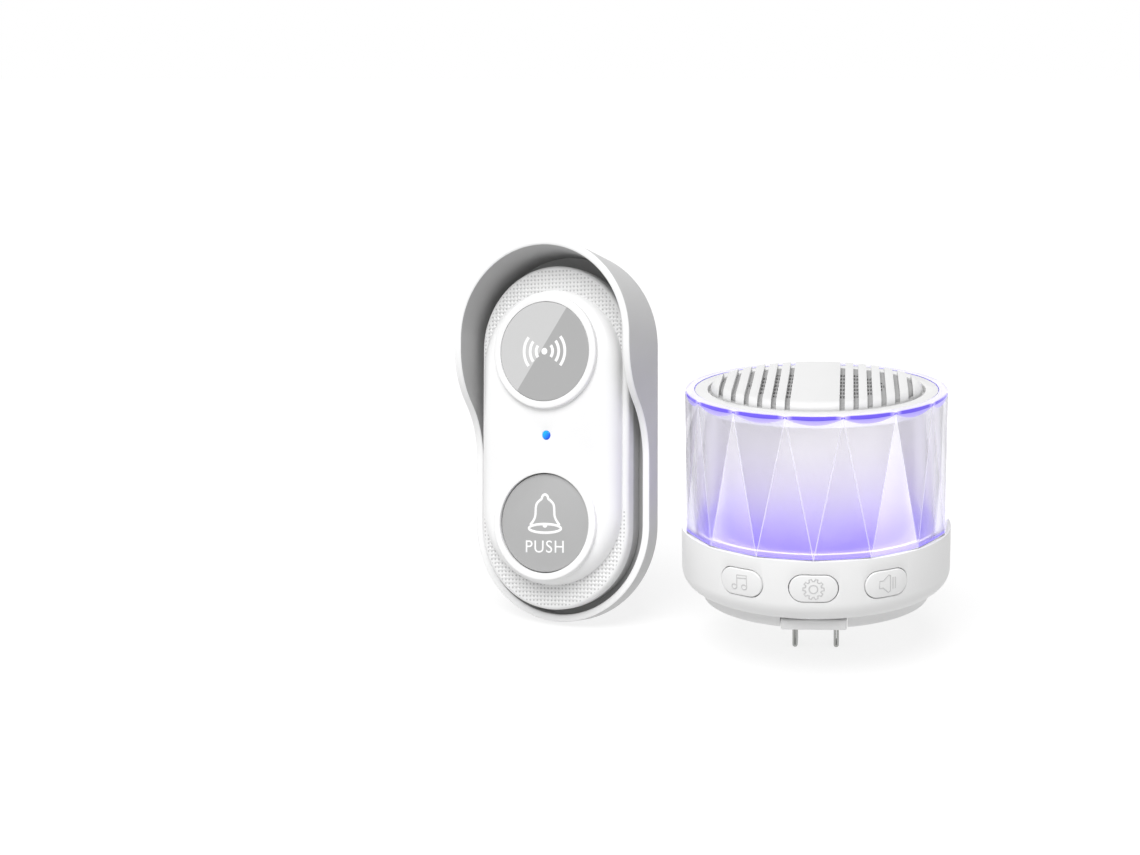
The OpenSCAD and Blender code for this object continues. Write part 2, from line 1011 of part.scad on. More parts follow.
module filter_capacitor() {
    color("midnightblue")
        translate(capacitor_at)
            round_disc(capacitor_d / 2, main_top, main_top + capacitor_h, capacitor_round);
}

module sound_chip() {
    color("black")
        translate(sound_chip_at)
            block(sound_chip_size.x, sound_chip_size.y, main_top, main_top + sound_chip_size.z);
}

module radio_module() {
    color("seagreen")
        translate(radio_module_at)
            block(radio_module_size.x, radio_module_size.y, main_top, main_top + radio_module_size.z);
}

module key_switches() {
    color("black")
        for (place = [-1, 0, 1])
            at_key(place)
                difference() {
                    block(key_switch_w, key_switch_h, key_switch_out - key_switch_d, key_switch_out);
                    rod(
                        plunger_r + slide,
                        key_switch_out - plunger_in - key_travel - fit,
                        key_switch_out + over
                    );
                }
}

// Chime's keys

module key_outline(grow) {
    rotate([0, 0, 90])
        stadium(key_r + grow, key_c);
}

// A drum of radius r about the chime's axis, seen in a key's frame
module key_drum(r) {
    rotate([90, 0, 0])
        cylinder(r = r, h = 4 * key_h, center = true);
}

module key_cap(place) {
    color("white")
        at_key(place) {
            intersection() {
                translate([0, 0, key_back])
                    linear_extrude(base_r)
                        key_outline(0);
                key_drum(key_face);
            }
            intersection() {
                translate([0, 0, key_back])
                    linear_extrude(base_r)
                        key_outline(key_lip);
                key_drum(base_in - rest_gap);
            }
            rod(plunger_r, key_tip, key_back + key_lip_t / 2);
        }
}

module key_plunger(place) {
    color("dimgray")
        at_key(place)
            rod(plunger_r, key_switch_out - plunger_in, key_tip);
}

module melody_button() {
    key_cap(-1);
}

module settings_button() {
    key_cap(0);
}

module volume_button() {
    key_cap(1);
}

module melody_plunger() {
    key_plunger(-1);
}

module settings_plunger() {
    key_plunger(0);
}

module volume_plunger() {
    key_plunger(1);
}

// Chime's light

module light_tray() {
    color("lavender") {
        tube(base_in - fit, throat_r - tray_lip, tray_z, base_top);
        tube(crystal_in - fit, crystal_in - fit - curb_w, base_top - tray_t / 2, base_top + curb_h);
        tube(spigot_r, throat_r, base_top - tray_t / 2, base_top + spigot_h);
        at_pegs() {
            rod(2 * peg_r, tray_z - led_board_gap, tray_z + tray_t / 2);
            rod(peg_r, led_board_z, tray_z);
        }
    }
}

module led_ring_board() {
    color("whitesmoke")
        difference() {
            tube(led_ring_r + led_board_out, led_ring_r - led_board_in, led_board_z, led_board_z + board_t);
            at_pegs()
                rod(peg_r + snug, led_board_z - over, led_board_z + board_t + over);
        }
}

module ring_leds() {
    color("mediumpurple")
        for (i = [0 : led_n - 1])
            rotate([0, 0, (i + 0.5) * 360 / led_n])
                translate([led_ring_r, 0, 0])
                    block(led_w, led_w, led_board_z + board_t, led_board_z + board_t + led_h);
}

function ring_points(r, z, turn) = [
    for (i = [0 : crystal_n - 1])
        let (a = (i + turn) * 360 / crystal_n - 90)
            [r * cos(a), r * sin(a), z]
];

// Upright and hanging triangles in turn, with a foot corner in the middle of the front
module facet_drum(z0, z1) {
    n = crystal_n;
    foot = [for (i = [0 : n - 1]) i];
    top = [for (i = [n - 1 : -1 : 0]) n + i];
    upright = [for (i = [0 : n - 1]) [i, n + i, (i + 1) % n]];
    hanging = [for (i = [0 : n - 1]) [n + i, n + (i + 1) % n, (i + 1) % n]];
    polyhedron(
        points = concat(ring_points(crystal_foot_r, z0, 0), ring_points(crystal_top_r, z1, 0.5)),
        faces = concat([foot, top], upright, hanging)
    );
}

module crystal_ring() {
    color("lavender", 0.5)
        difference() {
            union() {
                facet_drum(base_top, crystal_top - crystal_rim / 2);
                rod(crystal_top_r - rim_inset, crystal_top - crystal_rim, crystal_top);
            }
            rod(crystal_in, base_top - over, crystal_top + over);
        }
}

module light_core() {
    color("ghostwhite")
        tube(core_r, core_in, base_top, deck_z);
}

// Chime's deck, grille and speaker

module deck_ring() {
    color("white")
        rotate_extrude()
            difference() {
                union() {
                    translate([throat_r, deck_z])
                        square([deck_r - throat_r, deck_deep]);
                    translate([throat_r, deck_z - spigot_h])
                        square([spigot_r - throat_r, spigot_h + over]);
                }
                translate([0, deck_ledge])
                    square([deck_in, deck_deep]);
                translate([0, flange_z])
                    square([flange_r + fit, deck_deep]);
            }
}

module slot_strips(width, length) {
    for (s = [-1, 1], i = [0 : slot_n - 1])
        translate([s * (slot_first + i * slot_pitch), 0])
            square([width, length], center = true);
}

module speaker_grille() {
    color("white")
        difference() {
            round_disc(grille_r, deck_ledge, grille_top, grille_round);
            round_disc(grille_in, deck_ledge - over, grille_top - grille_t, grille_round / 2);
            translate([0, 0, grille_top - grille_round])
                linear_extrude(grille_round + over)
                    slot_strips(slot_w, 2 * grille_r + over);
        }
}

module speaker_baffle() {
    rows = floor(window_reach / window_pitch);
    color("gainsboro")
        difference() {
            round_disc(baffle_r, deck_ledge, baffle_top, grille_round / 2);
            translate([0, 0, deck_ledge - over])
                linear_extrude(baffle_top - deck_ledge + 2 * over)
                    intersection() {
                        difference() {
                            slot_strips(slot_w, 2 * window_reach);
                            slot_strips(window_rib, 2 * grille_r);
                        }
                        circle(window_reach);
                        for (j = [-rows : rows])
                            translate([0, j * window_pitch])
                                square([2 * grille_r, window_h], center = true);
                    }
        }
}

module speaker_basket() {
    color("dimgray")
        rotate_extrude()
            polygon([
                [flange_r, deck_ledge],
                [flange_r, flange_z],
                [basket_r, flange_z],
                [basket_r, flange_z - basket_rim],
                [magnet_r, basket_z],
                [basket_bore, basket_z],
                [basket_bore, basket_z + basket_t],
                [magnet_r - basket_t / 2, basket_z + basket_t],
                [basket_r - basket_t, flange_z - basket_rim + basket_t],
                [basket_r - basket_t, flange_z],
                [surround_out + fit, flange_z],
                [surround_out + fit, deck_ledge]
            ]);
}

module speaker_magnet() {
    color("gray")
        difference() {
            rod(magnet_r, magnet_z, basket_z);
            tube(
                coil_r + pole_gap,
                coil_r - coil_t - pole_gap,
                basket_z - coil_dip - cone_travel - coil_room,
                basket_z + over
            );
        }
}

module speaker_cone() {
    color("black")
        rotate_extrude()
            polygon([
                [cone_r, cone_top],
                [cone_r, cone_top - cone_t],
                [coil_r + cone_t, cone_low],
                [coil_r - coil_t, cone_low],
                [coil_r - coil_t, cone_low + cone_t]
            ]);
}

module dust_cap() {
    color("dimgray")
        rotate_extrude()
            translate([0, cone_low + cone_t])
                intersection() {
                    translate([0, -coil_r])
                        circle(2 * coil_r - coil_t);
                    square(coil_r - coil_t);
                }
}

module voice_coil() {
    color("chocolate")
        tube(coil_r, coil_r - coil_t, basket_z - coil_dip, cone_low);
}

module speaker_surround() {
    color("black")
        rotate_extrude()
            translate([surround_out - surround_w / 2, cone_top - cone_t])
                intersection() {
                    difference() {
                        circle(surround_w / 2);
                        circle(surround_w / 2 - surround_t);
                    }
                    translate([-surround_w, 0])
                        square([2 * surround_w, surround_w]);
                }
}

rain_hood();
body_tape();
call_rear_shell();
shell_gasket();
shell_screws();
call_bezel();
call_front_cover();
signal_lens();
light_pipe();
call_button_cap();
call_switch_plunger();
call_switch_case();
call_circuit_board();
call_board_screws();
call_led();
radio_chip();
clock_crystal();
call_antenna();
cell_holder();
coin_cell();
cell_clip();
chime_base();
chime_rear_plate();
rear_plate_screws();
plug_block();
plug_blades();
blade_contacts();
main_board();
main_board_screws();
power_transformer();
filter_capacitor();
sound_chip();
radio_module();
key_switches();
melody_button();
settings_button();
volume_button();
melody_plunger();
settings_plunger();
volume_plunger();
light_tray();
led_ring_board();
ring_leds();
crystal_ring();
light_core();
deck_ring();
speaker_grille();
speaker_baffle();
speaker_basket();
speaker_magnet();
speaker_cone();
dust_cap();
voice_coil();
speaker_surround();
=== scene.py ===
import math

import bmesh
import bpy
from mathutils import Matrix, Vector


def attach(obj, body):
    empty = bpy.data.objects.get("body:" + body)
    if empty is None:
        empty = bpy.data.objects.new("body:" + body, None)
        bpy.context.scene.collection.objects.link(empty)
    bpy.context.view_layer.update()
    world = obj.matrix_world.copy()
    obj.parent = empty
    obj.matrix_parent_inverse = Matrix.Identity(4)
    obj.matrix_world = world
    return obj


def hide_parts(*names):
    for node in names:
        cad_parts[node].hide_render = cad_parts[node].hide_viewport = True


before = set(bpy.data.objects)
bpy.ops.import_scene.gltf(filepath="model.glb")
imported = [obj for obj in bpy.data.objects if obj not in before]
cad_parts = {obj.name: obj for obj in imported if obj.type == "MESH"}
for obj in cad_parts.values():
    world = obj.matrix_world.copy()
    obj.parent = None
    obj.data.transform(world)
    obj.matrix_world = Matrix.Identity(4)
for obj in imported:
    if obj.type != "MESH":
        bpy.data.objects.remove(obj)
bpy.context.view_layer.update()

# Rain hood: one shell that is screwed to the wall and keeps rain off the call unit. It is injection
# moulded in light grey ABS with softly rounded corners and a satin skin outside. Its inside is painted a
# darker, matt grey as painted shade, and its glossier front edge near white as a painted highlight.
mm = 0.001
scene = bpy.context.scene
hood_rounding, hood_weld = 0.5 * mm, 0.06 * mm
hood_spine, hood_floor = 28.3 * mm, 4 * mm
hood_grey, shaded_inside_grey, highlight_white = "CBCBCB", "B2B2B2", "F6F6F6"
highlight_finish, shade_finish = 1, 2
front_facing = 0.5
cloud_size = 25 * mm
fine_weld, flat_angle = 0.001 * mm, math.radians(0.5)
view_turn, call_lean, call_turn = (math.radians(a) for a in (1.9, 14.6, 21.2))
call_at = (-79.6 * mm, 34 * mm, 40.9207 * mm)
call_place = (
    Matrix.Translation(call_at)
    @ Matrix.Rotation(view_turn, 4, "Z")
    @ Matrix.Rotation(-call_lean, 4, "X")
    @ Matrix.Rotation(-call_turn, 4, "Z")
    @ Matrix.Rotation(math.radians(90), 4, "X")
)
to_call = call_place.inverted()


def linear(code):
    """A colour written as sRGB hex, as the linear values that a shader takes."""
    parts = [int(code[i : i + 2], 16) / 255 for i in (0, 2, 4)]
    return [c / 12.92 if c <= 0.04045 else ((c + 0.055) / 1.055) ** 2.4 for c in parts] + [1.0]


def add(tree, kind, inputs=None, **settings):
    """Adds a node to a material, with its settings and what each of its sockets holds or is fed by."""
    made = tree.nodes.new(kind)
    for name, value in settings.items():
        setattr(made, name, value)
    for name, value in (inputs or {}).items():
        if isinstance(value, bpy.types.NodeSocket):
            tree.links.new(value, made.inputs[name])
        else:
            made.inputs[name].default_value = value
    return made


def blank(name):
    """A new material, with its node tree and the shader that every finish here is made on."""
    material = bpy.data.materials.new(name)
    material.use_nodes = True
    return material, material.node_tree, material.node_tree.nodes["Principled BSDF"]


def moulded(name, code, roughness, grain, depth, ior=1.53):
    """A moulded plastic: even colour with a slight cloudiness, and the grain of the mould's own skin, of a
    width and a depth in millimetres."""
    material, tree, shader = blank(name)
    place = add(tree, "ShaderNodeTexCoord").outputs["Object"]
    cloud = add(tree, "ShaderNodeTexNoise", {"Vector": place, "Scale": 1 / cloud_size, "Detail": 3.0})
    tone = add(tree, "ShaderNodeMapRange", {"Value": cloud.outputs["Fac"], "To Min": 0.97, "To Max": 1.03})
    colour = add(
        tree, "ShaderNodeVectorMath",
        {0: linear(code)[:3], "Scale": tone.outputs["Result"]}, operation="SCALE",
    )
    skin = add(tree, "ShaderNodeTexNoise", {"Vector": place, "Scale": 1 / (grain * mm), "Detail": 2.0})
    relief = add(
        tree, "ShaderNodeBump",
        {"Height": skin.outputs["Fac"], "Distance": depth * mm, "Strength": 0.6},
    )
    tree.links.new(colour.outputs["Vector"], shader.inputs["Base Color"])
    tree.links.new(relief.outputs["Normal"], shader.inputs["Normal"])
    shader.inputs["Roughness"].default_value = roughness
    shader.inputs["IOR"].default_value = ior
    return material


def dress(material, *names):
    """Gives CAD pieces their finish."""
    for name in names:
        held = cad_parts[name].data.materials
        held.clear()
        held.append(material)


def stand(name, bm, material, body, sharp=30):
    """Makes the finished mesh an object in its place, without normals kept from the CAD, smooth up to a sharp
    angle, and sets it on its body."""
    mesh = bpy.data.meshes.new(name)
    bm.to_mesh(mesh)
    bm.free()
    for layer in [a for a in mesh.attributes if a.name == "custom_normal"]:
        mesh.attributes.remove(layer)
    mesh.shade_smooth()
    mesh.set_sharp_from_angle(angle=math.radians(sharp))
    mesh.materials.append(material)
    piece = bpy.data.objects.new(name, mesh)
    scene.collection.objects.link(piece)
    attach(piece, body)
    return piece


def merged(node, weld=fine_weld):
    """A copy of a CAD piece's mesh with its loose triangles joined and its flat faces made whole."""
    bm = bmesh.new()
    bm.from_mesh(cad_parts[node].data)
    bmesh.ops.remove_doubles(bm, verts=bm.verts, dist=weld)
    bmesh.ops.dissolve_degenerate(bm, edges=bm.edges, dist=weld)
    bmesh.ops.dissolve_limit(bm, angle_limit=flat_angle, verts=bm.verts, edges=bm.edges)
    return bm


def soften(bm, rounding, segments=3, sharp=35, where=None):
    """Rounds the outer corners of a mesh, or those that lie where asked, as a mould's own corners do."""
    corners = [
        e for e in bm.edges
        if e.is_manifold and e.is_convex and e.calc_face_angle() > math.radians(sharp)
        and (where is None or all(where(v.co) for v in e.verts))
    ]
    bmesh.ops.bevel(
        bm, geom=corners, offset=rounding, offset_type="OFFSET", segments=segments, profile=0.5,
        affect="EDGES", material=-1, clamp_overlap=where is None, loop_slide=where is None,
    )


satin_abs = moulded("Satin light grey ABS", hood_grey, roughness=0.42, grain=0.35, depth=0.006)
hood = merged("rain_hood", weld=hood_weld)
soften(hood, hood_rounding)
# Sorts the faces: the front edge gets a painted highlight, the inside walls and floor painted shade.
for face in hood.faces:
    spot = to_call @ face.calc_center_median()
    facing = to_call.to_3x3() @ face.normal
    # Away from the middle line of the round-ended hood; a wall that looks the other way is its inside.
    outward = Vector((spot.x, spot.y - max(-hood_spine, min(hood_spine, spot.y)), 0))
    if facing.z > front_facing:
        face.material_index = highlight_finish if spot.z > hood_floor else shade_finish
    elif facing.dot(outward) < 0:
        face.material_index = shade_finish
hood_shell = stand("rain_hood_shell", hood, satin_abs, "doorbell")
# Painted highlight on the front edge and painted shade inside, as two more finishes.
highlight_edge_abs = moulded("White ABS edge with painted highlight", highlight_white, roughness=0.3, grain=0.35, depth=0.004)
shaded_inside_abs = moulded("Grey ABS inside with painted shade", shaded_inside_grey, roughness=0.6, grain=0.35, depth=0.008)
hood_shell.data.materials.append(highlight_edge_abs)
hood_shell.data.materials.append(shaded_inside_abs)
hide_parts("rain_hood")

# Foam tape: a self-adhesive pad between the hood's back and the call unit. It is cut from closed-cell
# foam, so its edges are soft and fine cells show on its skin.
tape_rounding = 0.25 * mm
foam_grey, foam_cell = "D9DADB", 0.5


def cellular(name, code, cell):
    """A foam's skin: packed cells of a width in millimetres, darker in their walls."""
    material, tree, shader = blank(name)
    place = add(tree, "ShaderNodeTexCoord").outputs["Object"]
    cells = add(tree, "ShaderNodeTexVoronoi", {"Vector": place, "Scale": 1 / (cell * mm)})
    tone = add(
        tree, "ShaderNodeMapRange",
        {"Value": cells.outputs["Distance"], "To Min": 1.04, "To Max": 0.86},
    )
    colour = add(
        tree, "ShaderNodeVectorMath",
        {0: linear(code)[:3], "Scale": tone.outputs["Result"]}, operation="SCALE",
    )
    relief = add(
        tree, "ShaderNodeBump",
        {"Height": cells.outputs["Distance"], "Distance": 0.05 * mm, "Strength": 0.6},
    )
    tree.links.new(colour.outputs["Vector"], shader.inputs["Base Color"])
    tree.links.new(relief.outputs["Normal"], shader.inputs["Normal"])
    shader.inputs["Roughness"].default_value = 0.9
    return material


foam = cellular("Closed-cell foam", foam_grey, foam_cell)
tape = merged("body_tape")
soften(tape, tape_rounding)
foam_pad = stand("foam_pad", tape, foam, "doorbell")
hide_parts("body_tape")

# Rear shell, gasket and shell screws: the back half of the call unit's body, in the hood's light grey ABS,
# closed against rain by a rubber cord and held to the bezel by two small zinc-plated screws.
dress(satin_abs, "call_rear_shell")
gasket_rubber = moulded("Silicone rubber", "77797C", roughness=0.62, grain=0.3, depth=0.01, ior=1.41)
dress(gasket_rubber, "shell_gasket")


def plated(name, code, roughness, brush):
    """A plated or drawn metal: fine marks, of a width in millimetres, that break up its gloss."""
    material, tree, shader = blank(name)
    place = add(tree, "ShaderNodeTexCoord").outputs["Object"]
    marks = add(tree, "ShaderNodeTexNoise", {"Vector": place, "Scale": 1 / (brush * mm), "Detail": 4.0})
    gloss = add(
        tree, "ShaderNodeMapRange",
        {"Value": marks.outputs["Fac"], "To Min": roughness - 0.08, "To Max": roughness + 0.08},
    )
    relief = add(
        tree, "ShaderNodeBump",
        {"Height": marks.outputs["Fac"], "Distance": 0.004 * mm, "Strength": 0.5},
    )
    tree.links.new(gloss.outputs["Result"], shader.inputs["Roughness"])
    tree.links.new(relief.outputs["Normal"], shader.inputs["Normal"])
    shader.inputs["Base Color"].default_value = linear(code)
    shader.inputs["Metallic"].default_value = 1.0
    return material


zinc = plated("Zinc-plated steel", "C3C6CA", roughness=0.34, brush=0.4)
dress(zinc, "shell_screws")

# Call unit's board and what is soldered to it. The board is glass-epoxy under green solder mask; the
# parts on it are black epoxy, nylon, drawn steel cans and enamelled copper wire.
mask_green, call_track = "1F6B45", 1.27


def soldered(name, code, track):
    """A circuit board under solder mask: faint lighter copper tracks on a fixed raster in millimetres."""
    material, tree, shader = blank(name)
    place = add(tree, "ShaderNodeTexCoord").outputs["Object"]
    raster = add(
        tree, "ShaderNodeTexBrick",
        {"Vector": place, "Scale": 1.0, "Brick Width": 5 * track * mm, "Row Height": track * mm,
         "Mortar Size": 0.14 * track * mm, "Color1": linear(code), "Color2": linear(code),
         "Mortar": [1.7 * c for c in linear(code)[:3]] + [1.0]},
    )
    relief = add(
        tree, "ShaderNodeBump",
        {"Height": raster.outputs["Fac"], "Distance": 0.03 * mm, "Strength": 0.4},
    )
    tree.links.new(raster.outputs["Color"], shader.inputs["Base Color"])
    tree.links.new(relief.outputs["Normal"], shader.inputs["Normal"])
    shader.inputs["Roughness"].default_value = 0.35
    return material


green_board = soldered("Green solder mask", mask_green, call_track)
black_epoxy = moulded("Black epoxy", "232427", roughness=0.5, grain=0.15, depth=0.01, ior=1.55)
grey_nylon = moulded("Grey nylon", "6D7074", roughness=0.5, grain=0.25, depth=0.008)
drawn_steel = plated("Drawn steel can", "BFC1C4", roughness=0.3, brush=0.3)
copper_wire = plated("Enamelled copper", "B5673A", roughness=0.3, brush=0.2)
nickel = plated("Nickel-plated brass", "C9C6BE", roughness=0.24, brush=0.25)
led_epoxy = moulded("Clear LED epoxy", "DDE6F2", roughness=0.12, grain=0.4, depth=0.002)
dress(green_board, "call_circuit_board")
dress(zinc, "call_board_screws")
dress(led_epoxy, "call_led")
dress(black_epoxy, "radio_chip", "cell_holder")
dress(drawn_steel, "clock_crystal", "coin_cell")
dress(copper_wire, "call_antenna")
dress(nickel, "cell_clip")
dress(grey_nylon, "call_switch_case", "call_switch_plunger")

# Bezel: the front half of the body, in light grey ABS. Its end fields are moulded with rows of low domes on
# a square raster, with painted shade as a darker spot between every four domes, and its front edge is
# rounded.
body_drop = 0.6 * mm
body_place = call_place @ Matrix.Translation((0, -body_drop, 0))
dome_pitch, dome_rows, dome_columns = 1.27 * mm, 42, 20
dome_r, dome_rise, dome_sink = 0.6 * mm, 0.26 * mm, 0.04 * mm
dome_clear = 0.9 * dome_r
pit_inner, pit_outer = 0.14, 0.34
bezel_grey, pit_shade_grey = "ECECEC", "BCBCBC"
bezel_z, bezel_skin = 11.7 * mm, 0.02 * mm
bezel_field = (28.4 * mm, 24.6 * mm)
cover_edge = (22.5 * mm, 24.1 * mm)


def along(tree, place):
    """Object coordinates seen in a piece's own axes, for a pattern that lies square on a leaning piece."""
    return add(
        tree, "ShaderNodeMapping",
        {"Vector": add(tree, "ShaderNodeTexCoord").outputs["Object"],
         "Location": place.to_translation(), "Rotation": place.to_euler()},
        vector_type="TEXTURE",
    ).outputs["Vector"]


def shaded_pits(name, code, place, pitch, front):
    """The domed ABS field: painted shade as a darker spot in the middle of every four domes, on the front
    face alone.
    """
    material, tree, shader = blank(name)
    spot = along(tree, place)
    tile = add(tree, "ShaderNodeVectorMath", {0: spot, "Scale": 1 / pitch}, operation="SCALE")
    part = add(tree, "ShaderNodeVectorMath", {0: tile.outputs["Vector"]}, operation="FRACTION")
    middle = add(
        tree, "ShaderNodeVectorMath",
        {0: part.outputs["Vector"], 1: (0.5, 0.5, 0)}, operation="SUBTRACT",
    )
    flat = add(
        tree, "ShaderNodeVectorMath",
        {0: middle.outputs["Vector"], 1: (1, 1, 0)}, operation="MULTIPLY",
    )
    reach = add(tree, "ShaderNodeVectorMath", {0: flat.outputs["Vector"]}, operation="LENGTH")
    # Painted shade: the darker spot in the hollow between domes.
    pit = add(
        tree, "ShaderNodeMapRange",
        {"Value": reach.outputs["Value"], "From Min": pit_inner, "From Max": pit_outer,
         "To Min": 1.0, "To Max": 0.0},
    )
    depth = add(tree, "ShaderNodeSeparateXYZ", {"Vector": spot})
    face = add(
        tree, "ShaderNodeMath",
        {0: depth.outputs["Z"], 1: front - bezel_skin}, operation="GREATER_THAN",
    )
    far = add(tree, "ShaderNodeMath", {0: depth.outputs["Y"]}, operation="ABSOLUTE")
    end = add(tree, "ShaderNodeMath", {0: far.outputs["Value"], 1: cover_edge[0]}, operation="GREATER_THAN")
    field = add(
        tree, "ShaderNodeMath",
        {0: face.outputs["Value"], 1: end.outputs["Value"]}, operation="MULTIPLY",
    )
    shade = add(
        tree, "ShaderNodeMath",
        {0: pit.outputs["Result"], 1: field.outputs["Value"]}, operation="MULTIPLY",
    )
    colour = add(
        tree, "ShaderNodeMix",
        {"Factor": shade.outputs["Value"], "A": linear(code), "B": linear(pit_shade_grey)}, data_type="RGBA",
    )
    tree.links.new(colour.outputs["Result"], shader.inputs["Base Color"])
    shader.inputs["Roughness"].default_value = 0.45
    shader.inputs["IOR"].default_value = 1.53
    return material


def inside(x, y, field, margin):
    """Whether a point lies in a round-ended outline, given as its half length between centres and radius."""
    return math.hypot(x, max(0.0, abs(y) - field[0])) < field[1] - margin


pit_shaded_abs = shaded_pits("Light grey ABS with painted pit shade", bezel_grey, body_place, dome_pitch, bezel_z)
dress(pit_shaded_abs, "call_bezel")
low_dome = Matrix.Diagonal((1, 1, dome_rise / dome_r, 1))
domes = bmesh.new()
for row in range(-dome_rows, dome_rows + 1):
    for column in range(-dome_columns, dome_columns + 1):
        x, y = column * dome_pitch, row * dome_pitch
        if inside(x, y, bezel_field, dome_r) and not inside(x, y, cover_edge, -dome_clear):
            spot = Matrix.Translation((x, y, bezel_z - dome_sink)) @ low_dome
            bmesh.ops.create_uvsphere(
                domes, u_segments=8, v_segments=4, radius=dome_r, matrix=body_place @ spot)
dome_abs = moulded("Light grey ABS domes", bezel_grey, roughness=0.42, grain=0.35, depth=0.006)
bezel_domes = stand("bezel_domes", domes, dome_abs, "doorbell", sharp=80)

# Front cover: the raised white face with its two round rims, snapped into the bezel. It is moulded in white
# ABS and polished, so its edges are rounded and its skin is glossier than the hood's.
cover_rounding = 0.35 * mm
polished_abs = moulded("Polished white ABS", "F4F4F4", roughness=0.3, grain=0.5, depth=0.003)
cover = merged("call_front_cover")
soften(cover, cover_rounding)
cover_shell = stand("front_cover_shell", cover, polished_abs, "doorbell")
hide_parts("call_front_cover")

# Signal lens: a flat grey acrylic disc set in the upper rim. It carries a painted reflection, a lighter and a
# darker grey that meet on a slanting line, with white radio waves printed over them.
lens_reflection_grey, lens_plain_grey = "CCCCCC", "ACACAC"
lens_y, lens_z = 26.9 * mm, 18.1 * mm
lens_seam = (0.828, -0.561, 0.0)
lens_seam_at, lens_seam_half = -1.17 * mm, 0.08 * mm
wave_radii, wave_half = (2.9, 5.05, 7.2), 39
wave_width, wave_dot_r = 1.0 * mm, 1.05 * mm
print_rise = 0.05 * mm
lens_place = body_place @ Matrix.Translation((0, lens_y, lens_z))


def painted_reflection(name, place):
    """Clear acrylic with a painted reflection: a lighter and a darker grey, with a narrow line between them.
    """
    material, tree, shader = blank(name)
    spot = along(tree, place)
    across = add(tree, "ShaderNodeVectorMath", {0: spot, 1: lens_seam}, operation="DOT_PRODUCT")
    side = add(
        tree, "ShaderNodeMapRange",
        {"Value": across.outputs["Value"],
         "From Min": lens_seam_at - lens_seam_half, "From Max": lens_seam_at + lens_seam_half},
    )
    # Painted reflection: the lighter grey on one side of the line.
    colour = add(
        tree, "ShaderNodeMix",
        {"Factor": side.outputs["Result"], "A": linear(lens_reflection_grey), "B": linear(lens_plain_grey)},
        data_type="RGBA",
    )
    tree.links.new(colour.outputs["Result"], shader.inputs["Base Color"])
    shader.inputs["Roughness"].default_value = 0.16
    shader.inputs["IOR"].default_value = 1.49
    return material


def stroke(paths, width, rise, smooth=True):
    """Raised lines of one width along open or closed paths in a plane, as one mesh."""
    curve = bpy.data.curves.new("stroke", "CURVE")
    curve.dimensions = "3D"
    curve.bevel_depth = width / 2
    curve.bevel_resolution = 2
    curve.resolution_u = 6
    curve.use_fill_caps = True
    for points, closed in paths:
        spline = curve.splines.new("BEZIER")
        spline.bezier_points.add(len(points) - 1)
        spline.use_cyclic_u = closed
        for knot, (x, y) in zip(spline.bezier_points, points):
            knot.co = (x * mm, y * mm, 0)
            knot.handle_left_type = knot.handle_right_type = "AUTO" if smooth else "VECTOR"
    return flattened(curve, rise / (width / 2))


def flattened(curve, scale):
    """A curve or a word made a mesh, with its height scaled down to a print's or a raised line's."""
    holder = bpy.data.objects.new("flat", curve)
    mesh = bpy.data.meshes.new_from_object(holder)
    bm = bmesh.new()
    bm.from_mesh(mesh)
    bpy.data.objects.remove(holder)
    bpy.data.meshes.remove(mesh)
    bmesh.ops.remove_doubles(bm, verts=bm.verts, dist=fine_weld)
    bmesh.ops.scale(bm, vec=(1, 1, scale), verts=bm.verts)
    return bm


def arc(radius, start, end, count=9):
    """Points on an arc round the origin, in millimetres and degrees."""
    turns = [math.radians(start + (end - start) * i / (count - 1)) for i in range(count)]
    return [(radius * math.cos(t), radius * math.sin(t)) for t in turns]


lens_acrylic = painted_reflection("Grey acrylic with painted reflection", lens_place)
dress(lens_acrylic, "signal_lens")
white_ink = moulded("White printing ink", "FAFAFA", roughness=0.4, grain=0.3, depth=0.002)
waves = [(arc(r, side - wave_half, side + wave_half), False) for r in wave_radii for side in (0, 180)]
radio_waves = stroke(waves, wave_width, print_rise)
bmesh.ops.create_uvsphere(
    radio_waves, u_segments=24, v_segments=6, radius=wave_dot_r,
    matrix=Matrix.Diagonal((1, 1, print_rise / wave_dot_r, 1)),
)
bmesh.ops.transform(radio_waves, matrix=lens_place, verts=radio_waves.verts)
wave_print = stand("radio_wave_print", radio_waves, white_ink, "doorbell", sharp=80)

# Light pipe: a clear blue acrylic pin pressed into the cover, lit from behind by the board's LED. A painted
# highlight makes it run from a bright sky blue at its upper left to a deeper blue.
pipe_deep, pipe_highlight_blue = "0050D8", "0AA6FA"
pipe_y, pipe_z = 0.6 * mm, 16.7 * mm
pipe_deep_at, pipe_bright_at = -1.5 * mm, 1.3 * mm
pipe_place = body_place @ Matrix.Translation((0, pipe_y, pipe_z))


def highlighted_blue(name, place):
    """Blue acrylic lit from within, with a painted highlight that makes one side brighter."""
    material, tree, shader = blank(name)
    spot = add(tree, "ShaderNodeSeparateXYZ", {"Vector": along(tree, place)})
    tilt = add(tree, "ShaderNodeMath", {0: spot.outputs["Y"], 1: spot.outputs["X"]}, operation="SUBTRACT")
    # Painted highlight: brighter towards the upper left.
    blend = add(
        tree, "ShaderNodeMapRange",
        {"Value": tilt.outputs["Value"], "From Min": pipe_deep_at, "From Max": pipe_bright_at},
    )
    colour = add(
        tree, "ShaderNodeMix",
        {"Factor": blend.outputs["Result"], "A": linear(pipe_deep), "B": linear(pipe_highlight_blue)},
        data_type="RGBA",
    )
    tree.links.new(colour.outputs["Result"], shader.inputs["Base Color"])
    tree.links.new(colour.outputs["Result"], shader.inputs["Emission Color"])
    shader.inputs["Emission Strength"].default_value = 0.27
    shader.inputs["Roughness"].default_value = 0.15
    shader.inputs["IOR"].default_value = 1.49
    return material


dress(highlighted_blue("Lit blue acrylic with painted highlight", pipe_place), "light_pipe")

